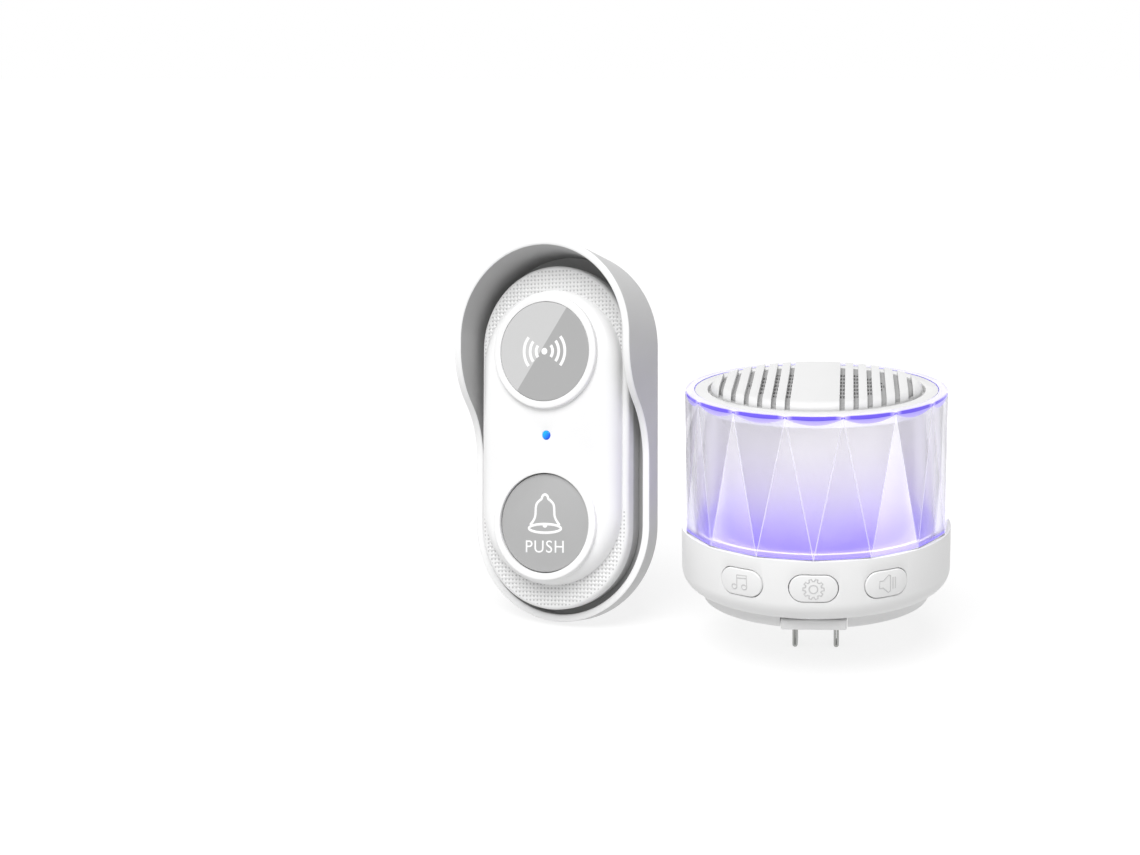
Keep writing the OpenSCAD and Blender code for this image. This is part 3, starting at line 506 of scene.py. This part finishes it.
# Call button: a grey cap that slides in the lower rim and presses the switch behind it. It is moulded in
# grey ABS with a fine grain, and carries a printed white bell and a plain word.
cap_grey, cap_rounding = "ACACAC", 0.25 * mm
cap_y, cap_z = -26.9 * mm, 17.4 * mm
bell_line, bell_top = 0.8 * mm, 8.9
mouth_half, mouth_rise, mouth_y = 5.65, 1.35, -1.7
clapper_r, clapper_y = 0.8 * mm, -0.9 * mm
word_height, word_y, word_spacing = 5.5 * mm, -7.6 * mm, 1.12
cap_place = body_place @ Matrix.Translation((0, cap_y, cap_z))
cap_abs = moulded("Grey ABS", cap_grey, roughness=0.45, grain=0.4, depth=0.01)
cap = merged("call_button_cap")
soften(cap, cap_rounding)
button_cap = stand("button_cap", cap, cap_abs, "call_button")
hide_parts("call_button_cap")
bell_side = [
    (-5.2, -0.65), (-4.1, 0.7), (-3.45, 2.1), (-3.3, 3.7), (-3.2, 5.1),
    (-2.75, 6.2), (-1.9, 7.0), (-1.2, 7.55), (-0.95, 8.25), (-0.5, 8.75),
]
bell = bell_side + [(0, bell_top)] + [(-x, y) for x, y in reversed(bell_side)]
mouth_turns = [math.radians(15 * i) for i in range(24)]
mouth = [(mouth_half * math.cos(t), mouth_y + mouth_rise * math.sin(t)) for t in mouth_turns]
bell_print = stroke([(bell, False), (mouth, True)], bell_line, print_rise)
bmesh.ops.create_uvsphere(
    bell_print, u_segments=16, v_segments=6, radius=clapper_r,
    matrix=Matrix.Translation((0, clapper_y, 0)) @ Matrix.Diagonal((1, 0.75, print_rise / clapper_r, 1)),
)
bmesh.ops.transform(bell_print, matrix=cap_place, verts=bell_print.verts)
bell_mark = stand("bell_print", bell_print, white_ink, "call_button", sharp=80)
word = bpy.data.curves.new("word", "FONT")
word.body = "PUSH"
word.size = word_height
word.space_character = word_spacing
word.align_x = word.align_y = "CENTER"
word.extrude = print_rise
word_mesh = flattened(word, 1.0)
word_place = cap_place @ Matrix.Translation((0, word_y, 0))
bmesh.ops.transform(word_mesh, matrix=word_place, verts=word_mesh.verts)
word_mark = stand("push_print", word_mesh, white_ink, "call_button")

# Plug block and blades: the tongue that slides into the chime's rear plate, with two flat blades that
# are folded from nickel-plated brass sheet, so a fine seam runs down each edge.
block_rounding, blade_rounding = 0.4 * mm, 0.08 * mm
blade_pitch, blade_w = 12.7 * mm, 6.35 * mm
blade_tip, blade_tail = -16.5 * mm, 7.8 * mm
sheet_t, fold_r = 0.7 * mm, 0.8 * mm
base_white = "EFEFEF"
base_abs = moulded("Warm white ABS", base_white, roughness=0.42, grain=0.4, depth=0.008)
block = merged("plug_block")
soften(block, block_rounding)
plug_tongue = stand("plug_tongue", block, base_abs, "doorbell")
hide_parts("plug_block")
fold_turns = [math.radians(180 + 18 * i) for i in range(11)]
bend = [(fold_r * math.cos(t), blade_tip + fold_r * (1 + math.sin(t))) for t in fold_turns]
fold = [(-fold_r, blade_tail)] + bend + [(fold_r, blade_tail)]
blades = bmesh.new()
for side in (-1, 1):
    corners = [blades.verts.new((side * blade_pitch / 2 + x, -blade_w / 2, z)) for x, z in fold]
    edges = [blades.edges.new(pair) for pair in zip(corners, corners[1:])]
    drawn = bmesh.ops.extrude_edge_only(blades, edges=edges)["geom"]
    far_side = [v for v in drawn if isinstance(v, bmesh.types.BMVert)]
    bmesh.ops.translate(blades, vec=(0, blade_w, 0), verts=far_side)
bmesh.ops.solidify(blades, geom=blades.faces[:], thickness=sheet_t)
for vert in blades.verts:
    vert.co.z = max(vert.co.z, blade_tip)
bmesh.ops.recalc_face_normals(blades, faces=blades.faces[:])
soften(blades, blade_rounding, segments=1)
blade_nickel = plated("Nickel-plated brass blade", "A9AAA8", roughness=0.3, brush=0.25)
plug_pins = stand("folded_blades", blades, blade_nickel, "doorbell")
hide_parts("plug_blades")
brass = plated("Spring brass", "C9A35B", roughness=0.32, brush=0.25)
dress(brass, "blade_contacts")

# Rear plate and base drum: the chime's lower housing in warm white ABS, with a large rounded lower edge.
# The plate closes it from below and is held by three countersunk screws.
housing_rounding = 0.3 * mm
key_rim, key_rim_r = 0.26 * mm, 40.8 * mm
key_low, key_high = 9 * mm, 20 * mm
plate = merged("chime_rear_plate")
soften(plate, housing_rounding)
rear_plate = stand("rear_plate", plate, base_abs, "doorbell")
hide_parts("chime_rear_plate")
dress(zinc, "rear_plate_screws")


def on_key_rim(spot):
    """Whether a corner lies on the rim of a key, or of its opening in the drum's wall."""
    return spot.xy.length > key_rim_r and key_low < spot.z < key_high


drum = merged("chime_base")
soften(drum, key_rim, where=on_key_rim)
soften(drum, housing_rounding)
base_drum = stand("base_drum", drum, base_abs, "doorbell")
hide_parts("chime_base")

# Main board and its parts: the mains converter, the sound chip and the radio under the speaker. The
# parts are tape-wound, sleeved or moulded, and stand on a green board on three screws.
dress(green_board, "main_board")
dress(zinc, "main_board_screws")
winding_tape = moulded("Yellow winding tape", "D9B84A", roughness=0.4, grain=0.6, depth=0.01)
can_sleeve = moulded("Shrunk black sleeve", "24272E", roughness=0.35, grain=0.5, depth=0.006)
dress(winding_tape, "power_transformer")
dress(can_sleeve, "filter_capacitor")
dress(black_epoxy, "sound_chip")
dress(green_board, "radio_module")
dress(grey_nylon, "key_switches")

# Keys: three oval keys in the drum's wall, each moulded with its sign raised on its face, the sign painted
# greyer than the key as painted shade. The keys slide in towards their switches, and a narrow shadow gap
# runs round each.
key_r, key_z, key_turn = 41.3 * mm, 14.5 * mm, 31
sign_rise, sign_width = 0.12 * mm, 0.42 * mm
head_half, head_rise = 0.85, 0.7
gear_root, gear_tip, gear_hub, gear_teeth = 2.35, 3.05, 1.2, 10
bar_half = 1.7
# Painted shade: the raised signs are given a greyer white than the key.
sign_shade_abs = moulded("Key-sign ABS with painted shade", "CDCDCD", roughness=0.45, grain=0.4, depth=0.006)
note_stems = [[(-1.15, -1.45), (-1.15, 2.05), (2.25, 2.3), (2.25, -1.2)], [(-1.15, 1.2), (2.25, 1.45)]]
head_turns = [math.radians(30 * i) for i in range(12)]
note_heads = [
    [(x + head_half * math.cos(t), y + head_rise * math.sin(t)) for t in head_turns]
    for x, y in ((-2.0, -1.5), (1.4, -1.25))
]
melody_sign = [(p, False, False) for p in note_stems] + [(p, True, True) for p in note_heads]
gear = []
for tooth in range(gear_teeth):
    for radius, shift in ((gear_root, -12), (gear_tip, -7), (gear_tip, 7), (gear_root, 12)):
        t = math.radians(360 / gear_teeth * tooth + shift)
        gear.append((radius * math.cos(t), radius * math.sin(t)))
settings_sign = [(gear, True, False), (arc(gear_hub, 0, 337.5, 16), True, True)]
horn = [
    (-2.7, -1.1), (-1.5, -1.1), (0.2, -2.6), (0.9, -2.3),
    (0.9, 2.3), (0.2, 2.6), (-1.5, 1.1), (-2.7, 1.1),
]
sound_bars = [[(x, -bar_half), (x, bar_half)] for x in (1.75, 2.6)]
volume_sign = [(horn, True, False)] + [(bar, False, False) for bar in sound_bars]


def wrapped(bm, radius, turn, height):
    """Lays a flat sign on the drum: across becomes round the axis, and up stays up."""
    for vert in bm.verts:
        out, around = radius + vert.co.z, turn + vert.co.x / radius
        vert.co = (out * math.sin(around), -out * math.cos(around), height + vert.co.y)


keys = (("melody", -key_turn, melody_sign), ("settings", 0, settings_sign), ("volume", key_turn, volume_sign))
for key, turn, sign in keys:
    cap = merged(key + "_button")
    soften(cap, key_rim, where=on_key_rim)
    key_cap = stand(key + "_key_cap", cap, base_abs, key + "_key")
    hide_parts(key + "_button")
    lines = bmesh.new()
    for points, closed, smooth in sign:
        line = stroke([(points, closed)], sign_width, sign_rise, smooth)
        bmesh.ops.recalc_face_normals(line, faces=line.faces[:])
        held = bpy.data.meshes.new("line")
        line.to_mesh(held)
        line.free()
        lines.from_mesh(held)
        bpy.data.meshes.remove(held)
    wrapped(lines, key_r, math.radians(turn), key_z)
    key_sign = stand(key + "_sign", lines, sign_shade_abs, key + "_key", sharp=60)
    dress(grey_nylon, key + "_plunger")

# Light tray, LED board and LEDs: a white channel under the crystal that gathers the light of a ring of
# violet LEDs. The channel glows violet, and its outer curb catches the light as a paler line.
tray_rounding, tray_low, tray_high = 0.2 * mm, 22 * mm, 29 * mm
tray_lilac, glow_deep, glow_violet = "C2B6F4", "A996FF", "C3B5FF"
curb_white, curb_low, curb_finish = "F6F3FF", "F1EDFF", 1
curb_r, curb_z = 35.2 * mm, 22.6 * mm
led_low, led_high = 20 * mm, 30 * mm
ring_track = 2.54
glow_cloud, glow_drift, glow_dim = 16 * mm, 0.07, 0.85


def glowing(name, body, light, strength, roughness=0.5):
    """A plastic lit from within: its light's colour goes by height, a little unevenly, and so does its own
    colour where no body colour is given. The light is the lowest and highest level and the stops between."""
    material, tree, shader = blank(name)
    if body is not None:
        shader.inputs["Base Color"].default_value = linear(body)
    shader.inputs["Roughness"].default_value = roughness
    shader.inputs["Emission Strength"].default_value = strength
    place = add(tree, "ShaderNodeTexCoord").outputs["Object"]
    height = add(tree, "ShaderNodeSeparateXYZ", {"Vector": place})
    low, high, stops = light
    cloud = add(tree, "ShaderNodeTexNoise", {"Vector": place, "Scale": 1 / glow_cloud, "Detail": 2.0})
    swing = glow_drift * (high - low)
    drift = add(
        tree, "ShaderNodeMapRange",
        {"Value": cloud.outputs["Fac"], "To Min": -swing, "To Max": swing},
    )
    level = add(tree, "ShaderNodeMath", {0: height.outputs["Z"], 1: drift.outputs["Result"]}, operation="ADD")
    share = add(
        tree, "ShaderNodeMapRange",
        {"Value": level.outputs["Value"], "From Min": low, "From Max": high},
    )
    ramp = add(tree, "ShaderNodeValToRGB", {"Fac": share.outputs["Result"]})
    for stop, _ in stops[1:-1]:
        ramp.color_ramp.elements.new(stop)
    for element, (stop, code) in zip(ramp.color_ramp.elements, stops):
        element.position, element.color = stop, linear(code)
    tree.links.new(ramp.outputs["Color"], shader.inputs["Emission Color"])
    if body is None:
        dimmed = add(
            tree, "ShaderNodeVectorMath",
            {0: ramp.outputs["Color"], "Scale": glow_dim}, operation="SCALE",
        )
        tree.links.new(dimmed.outputs["Vector"], shader.inputs["Base Color"])
    return material


tray_stops = [(0.0, glow_deep), (0.55, glow_violet), (1.0, curb_white)]
tray_glow = glowing("Lit white tray", tray_lilac, (tray_low, tray_high, tray_stops), strength=0.34)
tray = merged("light_tray")
soften(tray, tray_rounding, segments=1)
for face in tray.faces:
    if all(v.co.xy.length > curb_r and v.co.z > curb_z for v in face.verts):
        face.material_index = curb_finish
curbed_tray = stand("curbed_tray", tray, tray_glow, "doorbell")
curb_stops = [(0.0, curb_low), (1.0, curb_white)]
curbed_tray.data.materials.append(
    glowing("Lit white curb", curb_white, (tray_low, tray_high, curb_stops), strength=0.6))
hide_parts("light_tray")
white_board = soldered("White solder mask", "E6E6EA", ring_track)
dress(white_board, "led_ring_board")
led_stops = [(0.0, "8E74FF"), (1.0, "C9BDFF")]
led_glow = glowing("Violet LED", "D8CCFF", (led_low, led_high, led_stops), strength=0.8, roughness=0.2)
dress(led_glow, "ring_leds")

# Light core: the frosted white tube inside the crystal, lit from its foot. The violet fades upwards to
# white, unevenly, and its matt skin diffuses the light.
core_low, core_high = 22.5 * mm, 60.5 * mm
core_stops = [
    (0.0, "9F88F8"), (0.1, "B09DFB"), (0.3, "D2C8F7"), (0.5, "E4DFF1"), (0.75, "F2F1F1"), (1.0, "FAFAF6"),
]
core_light = (core_low, core_high, core_stops)
dress(glowing("Frosted acrylic core", None, core_light, strength=0.22, roughness=0.6), "light_core")

# Crystal ring: a clear acrylic ring with long three-cornered facets, polished after moulding, and an inner
# wall left slightly frosted, so the core blurs behind it. Its ridges, flat tops and foot carry a painted
# white highlight, and each facet a painted glow of its own brightness as painted reflections, dimmer facets
# tinted grey as painted shade. Light that rises in its wall comes out violet at the chamfered top rim, palest
# at the facet corners as a painted highlight.
ridge_rounding, rim_chamfer, foot_chamfer = 0.15 * mm, 0.15 * mm, 0.3 * mm
crystal_count, crystal_foot, rim_foot, crystal_top = 15, 22.5 * mm, 63.5 * mm, 64.5 * mm
facet_r, ridge_r = 37.6 * mm, 38 * mm
level_slack, rim_clear = 0.01 * mm, 0.4 * mm
upright, level_up = 0.5, 0.9
ridge_least, ridge_most = 0.1, 0.5
ridge_highlight_finish, deep_finish, pale_highlight_finish, wall_finish = 1, 2, 3, 4
lilac_z, violet_z, band_edge = 61.6 * mm, 62.9 * mm, 0.15 * mm
band_lilac, band_violet = "B0A4F2", "6450DC"
facet_glow_faint, facet_glow_bright = "3A393B", "9E9E9D"
facet_shade_tint, tint_clear, tint_clear_at = "E0DFE8", "FFFFFF", 0.28
acrylic_ior = 1.45
# Painted glow of each facet as painted reflections, counted from the front and repeated round the ring.
painted_facet_glows = (0.26, 0.23, 0.27, 0.95, 0.05, 0.05, 0.05, 0.46, 0.12, 0.24)
facet_step, front_turn = 180 / crystal_count, 450
# Puts the middle of the front facet at half a step, and keeps the count of steps above zero.
front_steps = 10.25


def facet_share(tree):
    """How far a point lies from the middle of its hanging facet, from 0 to 0.5 at the facet's corners, and
    its height."""
    place = add(tree, "ShaderNodeSeparateXYZ", {"Vector": add(tree, "ShaderNodeTexCoord").outputs["Object"]})
    turn = add(tree, "ShaderNodeMath", {0: place.outputs["Y"], 1: place.outputs["X"]}, operation="ARCTAN2")
    steps = add(
        tree, "ShaderNodeMath",
        {0: turn.outputs["Value"], 1: crystal_count / (2 * math.pi), 2: front_steps},
        operation="MULTIPLY_ADD",
    )
    share = add(tree, "ShaderNodeMath", {0: steps.outputs["Value"]}, operation="FRACT")
    swing = add(tree, "ShaderNodeMath", {0: share.outputs["Value"], 1: 0.5}, operation="SUBTRACT")
    reach = add(tree, "ShaderNodeMath", {0: swing.outputs["Value"]}, operation="ABSOLUTE")
    return reach.outputs["Value"], place.outputs["Z"]


def faceted(name):
    """Clear acrylic whose facets each carry a painted glow as painted reflections, by the mesh's own painted
    facet glow, dimmer facets tinted grey as painted shade, with a lilac band under the rim that hangs lowest
    in the middle of each facet."""
    material, tree, shader = blank(name)
    tone = add(tree, "ShaderNodeAttribute", attribute_name="painted_facet_glow")
    reach, height = facet_share(tree)
    bow = add(tree, "ShaderNodeMath", {0: reach, 1: reach}, operation="MULTIPLY").outputs["Value"]
    bands = []
    for low in (lilac_z, violet_z):
        edge = add(
            tree, "ShaderNodeMath",
            {0: bow, 1: 4 * (rim_foot - low), 2: low}, operation="MULTIPLY_ADD",
        )
        over = add(tree, "ShaderNodeMath", {0: height, 1: edge.outputs["Value"]}, operation="SUBTRACT")
        band = add(tree, "ShaderNodeMapRange", {"Value": over.outputs["Value"], "From Max": band_edge})
        bands.append(band.outputs["Result"])
    paint = add(
        tree, "ShaderNodeMix",
        {"Factor": bands[1], "A": linear(band_lilac), "B": linear(band_violet)}, data_type="RGBA",
    )
    dimmed = add(tree, "ShaderNodeVectorMath", {0: paint.outputs["Result"], "Scale": 0.4}, operation="SCALE")
    # Painted glow of each facet, as painted reflections.
    veil = add(
        tree, "ShaderNodeMix",
        {"Factor": tone.outputs["Fac"], "A": linear(facet_glow_faint), "B": linear(facet_glow_bright)}, data_type="RGBA",
    )
    light = add(
        tree, "ShaderNodeMix",
        {"Factor": bands[0], "A": veil.outputs["Result"], "B": dimmed.outputs["Vector"]}, data_type="RGBA",
    )
    # Dimmer facets are tinted grey as painted shade.
    bare = add(tree, "ShaderNodeMapRange", {"Value": tone.outputs["Fac"], "From Max": tint_clear_at})
    tint = add(
        tree, "ShaderNodeMix",
        {"Factor": bare.outputs["Result"], "A": linear(facet_shade_tint), "B": linear(tint_clear)}, data_type="RGBA",
    )
    colour = add(
        tree, "ShaderNodeMix",
        {"Factor": bands[0], "A": tint.outputs["Result"], "B": paint.outputs["Result"]}, data_type="RGBA",
    )
    clear = add(tree, "ShaderNodeMapRange", {"Value": bands[0], "To Min": 1.0, "To Max": 0.25})
    tree.links.new(light.outputs["Result"], shader.inputs["Emission Color"])
    tree.links.new(colour.outputs["Result"], shader.inputs["Base Color"])
    tree.links.new(clear.outputs["Result"], shader.inputs["Transmission Weight"])
    shader.inputs["Emission Strength"].default_value = 1.0
    shader.inputs["Roughness"].default_value = 0.02
    shader.inputs["IOR"].default_value = acrylic_ior
    return material


def edge_lit(name, deep, pale):
    """Acrylic at the rim, where guided light comes out: deepest in the middle of a facet, palest at its
    corners as a painted highlight."""
    material, tree, shader = blank(name)
    reach = facet_share(tree)[0]
    blend = add(tree, "ShaderNodeMapRange", {"Value": reach, "From Min": 0.36, "From Max": 0.5})
    colour = add(
        tree, "ShaderNodeMix",
        {"Factor": blend.outputs["Result"], "A": linear(deep), "B": linear(pale)}, data_type="RGBA",
    )
    tree.links.new(colour.outputs["Result"], shader.inputs["Base Color"])
    tree.links.new(colour.outputs["Result"], shader.inputs["Emission Color"])
    shader.inputs["Emission Strength"].default_value = 0.4
    shader.inputs["Roughness"].default_value = 0.1
    shader.inputs["IOR"].default_value = 1.49
    return material


def chamfer(bm, edges, size):
    """Cuts one narrow flat along each edge, and gives the new faces."""
    return bmesh.ops.bevel(
        bm, geom=edges, offset=size, offset_type="OFFSET", segments=1, profile=0.5,
        affect="EDGES", material=-1, clamp_overlap=True,
    )["faces"]


clear_acrylic = faceted("Clear acrylic")
ridge_stops = [(0.0, "EDE8FF"), (1.0, "FBFAFF")]
ridge_light = (22 * mm, 65 * mm, ridge_stops)
# Painted highlight: the ridges, flat tops and foot chamfer glow faintly white.
ridge_highlight_acrylic = glowing("Acrylic ridge with painted highlight", "F4F2FF", ridge_light, strength=0.18, roughness=0.15)
ridge_highlight_acrylic.node_tree.nodes["Principled BSDF"].inputs["Transmission Weight"].default_value = 0.5
wall_stops = [(0.0, "E8DDFF"), (0.45, "F6F2FF"), (1.0, "F9F7FF")]
wall_light = (crystal_foot, crystal_top, wall_stops)
wall_acrylic = glowing("Clear acrylic inner wall", None, wall_light, strength=0.0, roughness=0.3)
wall_acrylic.node_tree.nodes["Principled BSDF"].inputs["Transmission Weight"].default_value = 1.0
wall_acrylic.node_tree.nodes["Principled BSDF"].inputs["IOR"].default_value = acrylic_ior
rim_deep = edge_lit("Violet-lit acrylic rim with painted highlight", band_violet, "C6BCFA")
rim_pale_highlight = edge_lit("Lilac-lit acrylic rim with painted highlight", "B4A8F6", "F2EFFF")
ring = merged("crystal_ring")
# Outer facets take their painted glow; flat tops and the chamfers below take the ridges' painted highlight.
tone = ring.faces.layers.float.new("painted_facet_glow")
for face in ring.faces:
    middle = face.calc_center_median()
    if abs(face.normal.z) < upright and all(v.co.xy.length > facet_r for v in face.verts):
        if middle.z > rim_foot:
            face.material_index = deep_finish
        step = round((math.degrees(math.atan2(middle.y, middle.x)) + front_turn) / facet_step)
        face[tone] = painted_facet_glows[step % len(painted_facet_glows)]
    elif face.normal.z > level_up:
        face.material_index = ridge_highlight_finish
    elif abs(face.normal.z) < upright:
        face.material_index = wall_finish
outer = [
    e for e in ring.edges
    if e.is_manifold and e.is_convex and all(v.co.xy.length > ridge_r for v in e.verts)
]
for level, size, finish in (
    (crystal_top, rim_chamfer, pale_highlight_finish),
    (crystal_foot, foot_chamfer, ridge_highlight_finish),
):
    level_edges = [
        e for e in outer
        if e.is_valid and all(abs(v.co.z - level) < level_slack for v in e.verts)
    ]
    for face in chamfer(ring, level_edges, size):
        face.material_index = finish
ridges = [
    e for e in ring.edges
    if e.is_manifold and e.is_convex and ridge_least < e.calc_face_angle() < ridge_most
    and all(v.co.xy.length > ridge_r and v.co.z < crystal_top - rim_clear for v in e.verts)
    and not any(f.material_index for f in e.link_faces)
]
for face in chamfer(ring, ridges, ridge_rounding):
    face.material_index = ridge_highlight_finish
crystal = stand("crystal_facets", ring, clear_acrylic, "doorbell", sharp=8)
for finish in (ridge_highlight_acrylic, rim_deep, rim_pale_highlight, wall_acrylic):
    crystal.data.materials.append(finish)
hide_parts("crystal_ring")

# Speaker: a small paper-cone driver under the grille, on a pressed steel basket with a ferrite magnet.
# The cone and its coil move together, and the rubber surround rolls between cone and basket.
basket_steel = plated("Pressed steel basket", "4A4C50", roughness=0.45, brush=0.6)
dress(basket_steel, "speaker_basket")
ferrite = moulded("Ferrite", "2E2F31", roughness=0.55, grain=0.3, depth=0.01)
paper = moulded("Pressed paper pulp", "2B2B2C", roughness=0.85, grain=0.35, depth=0.03, ior=1.4)
surround_rubber = moulded("Surround rubber", "202123", roughness=0.6, grain=0.3, depth=0.008)
dress(ferrite, "speaker_magnet")
dress(paper, "speaker_cone", "dust_cap")
dress(copper_wire, "voice_coil")
dress(surround_rubber, "speaker_surround")

# Baffle, deck ring and grille: the chime's white top. The grille is a shallow dome cut by straight slots,
# over a baffle whose small windows let the sound out, and the deck ring closes the gap to the crystal.
# The slots' floors are painted the baffle's grey as painted shade, and the deck ring's skirt by the crystal
# glows faintly as painted light.
deck_rounding, grille_rounding = 0.35 * mm, 0.25 * mm
slot_z, slot_slack = 64.3 * mm, 0.1 * mm
skirt_low, skirt_high = 58 * mm, 65 * mm
skirt_z, skirt_r = 64.2 * mm, 35.8 * mm
slot_shade_finish, skirt_finish = 1, 2
baffle_and_slot_shade = moulded("Grey ABS baffle and painted slot shade", "A6A6A6", roughness=0.55, grain=0.4, depth=0.008)
dress(baffle_and_slot_shade, "speaker_baffle")
top_abs = moulded("Fine white ABS", "E4E4E4", roughness=0.4, grain=0.4, depth=0.005)
skirt_stops = [(0.0, "EFEEF4"), (1.0, "F4F4F6")]
lit_skirt = glowing("Lit white ABS skirt", "F3F3F3", (skirt_low, skirt_high, skirt_stops), strength=0.4)


def in_slot(face):
    """Whether a face of the grille is the floor of one of its slots, which gets painted shade."""
    return face.normal.z > level_up and abs(face.calc_center_median().z - slot_z) < slot_slack


def on_skirt(face):
    """Whether a face of the deck ring stands against the crystal, where it catches the crystal's light."""
    return all(v.co.z < skirt_z and v.co.xy.length > skirt_r for v in face.verts)


for node, rounding, chosen, finish in (
    ("deck_ring", deck_rounding, on_skirt, skirt_finish),
    ("speaker_grille", grille_rounding, in_slot, slot_shade_finish),
):
    top = merged(node)
    soften(top, rounding, segments=2)
    # Slot floors get painted shade, and the deck ring's skirt a faint painted glow.
    for face in top.faces:
        if chosen(face):
            face.material_index = finish
    lid = stand(node + "_lid", top, top_abs, "doorbell")
    lid.data.materials.append(baffle_and_slot_shade)
    lid.data.materials.append(lit_skirt)
    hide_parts(node)

# Studio: a pale floor at the blades' tips, a white surround, one large soft lamp from above and in front,
# a little to the left, and the camera that looks at the set as the photograph does.
floor_z, floor_size, floor_grey = blade_tip, 4.0, "8B8B8B"
floor_shade, floor_white = 0.46, 0.78
sky_shade, sky_white = 0.4, 1.0
lamp_from, lamp_spread, lamp_energy = Vector((-0.14, -0.5, 0.855)), math.radians(45), 2.6
camera_at, camera_turn = (0.00967, -0.54869, 0.17884), (math.radians(77.01), 0, math.radians(1.78))
camera_lens, camera_sensor, camera_near = 58.92, 36, 0.01
picture_w, picture_shift = 1140, -222


def shown(tree):
    """Whether a ray shows the surround to the eye: seen straight, mirrored or through the clear acrylic."""
    path = add(tree, "ShaderNodeLightPath")
    plain = add(
        tree, "ShaderNodeMath",
        {0: path.outputs["Is Camera Ray"], 1: path.outputs["Is Glossy Ray"]}, operation="MAXIMUM",
    )
    return add(
        tree, "ShaderNodeMath",
        {0: plain.outputs["Value"], 1: path.outputs["Is Transmission Ray"]}, operation="MAXIMUM",
    ).outputs["Value"]


floor_mesh = bmesh.new()
bmesh.ops.create_grid(
    floor_mesh, x_segments=1, y_segments=1, size=floor_size, matrix=Matrix.Translation((0, 0, floor_z)))
floor_paper, floor_tree, floor_shader = blank("White paper floor")
floor_light = add(
    floor_tree, "ShaderNodeMapRange",
    {"Value": shown(floor_tree), "To Min": floor_shade, "To Max": floor_white},
)
floor_tree.links.new(floor_light.outputs["Result"], floor_shader.inputs["Emission Strength"])
floor_shader.inputs["Emission Color"].default_value = linear("FFFFFF")
floor_shader.inputs["Base Color"].default_value = linear(floor_grey)
floor_shader.inputs["Roughness"].default_value = 1.0
floor_shader.inputs["Specular IOR Level"].default_value = 0.0
floor_held = bpy.data.meshes.new("floor")
floor_mesh.to_mesh(floor_held)
floor_mesh.free()
floor_held.materials.append(floor_paper)
floor = bpy.data.objects.new("floor", floor_held)
scene.collection.objects.link(floor)
world = bpy.data.worlds.new("White surround")
scene.world = world
world.use_nodes = True
sky = world.node_tree
sky_light = add(sky, "ShaderNodeMapRange", {"Value": shown(sky), "To Min": sky_shade, "To Max": sky_white})
sky.nodes["Background"].inputs["Color"].default_value = linear("FFFFFF")
sky.links.new(sky_light.outputs["Result"], sky.nodes["Background"].inputs["Strength"])
lamp = bpy.data.lights.new("soft_key", "SUN")
lamp.angle = lamp_spread
lamp.energy = lamp_energy
key_lamp = bpy.data.objects.new("soft_key", lamp)
key_lamp.rotation_euler = lamp_from.to_track_quat("Z", "Y").to_euler()
scene.collection.objects.link(key_lamp)
sight = bpy.data.cameras.new("camera")
sight.lens = camera_lens
sight.shift_x = picture_shift / picture_w
sight.sensor_width = camera_sensor
sight.clip_start = camera_near
camera = bpy.data.objects.new("camera", sight)
camera.location = camera_at
camera.rotation_euler = camera_turn
scene.collection.objects.link(camera)
scene.camera = camera
scene.view_settings.view_transform = "Standard"
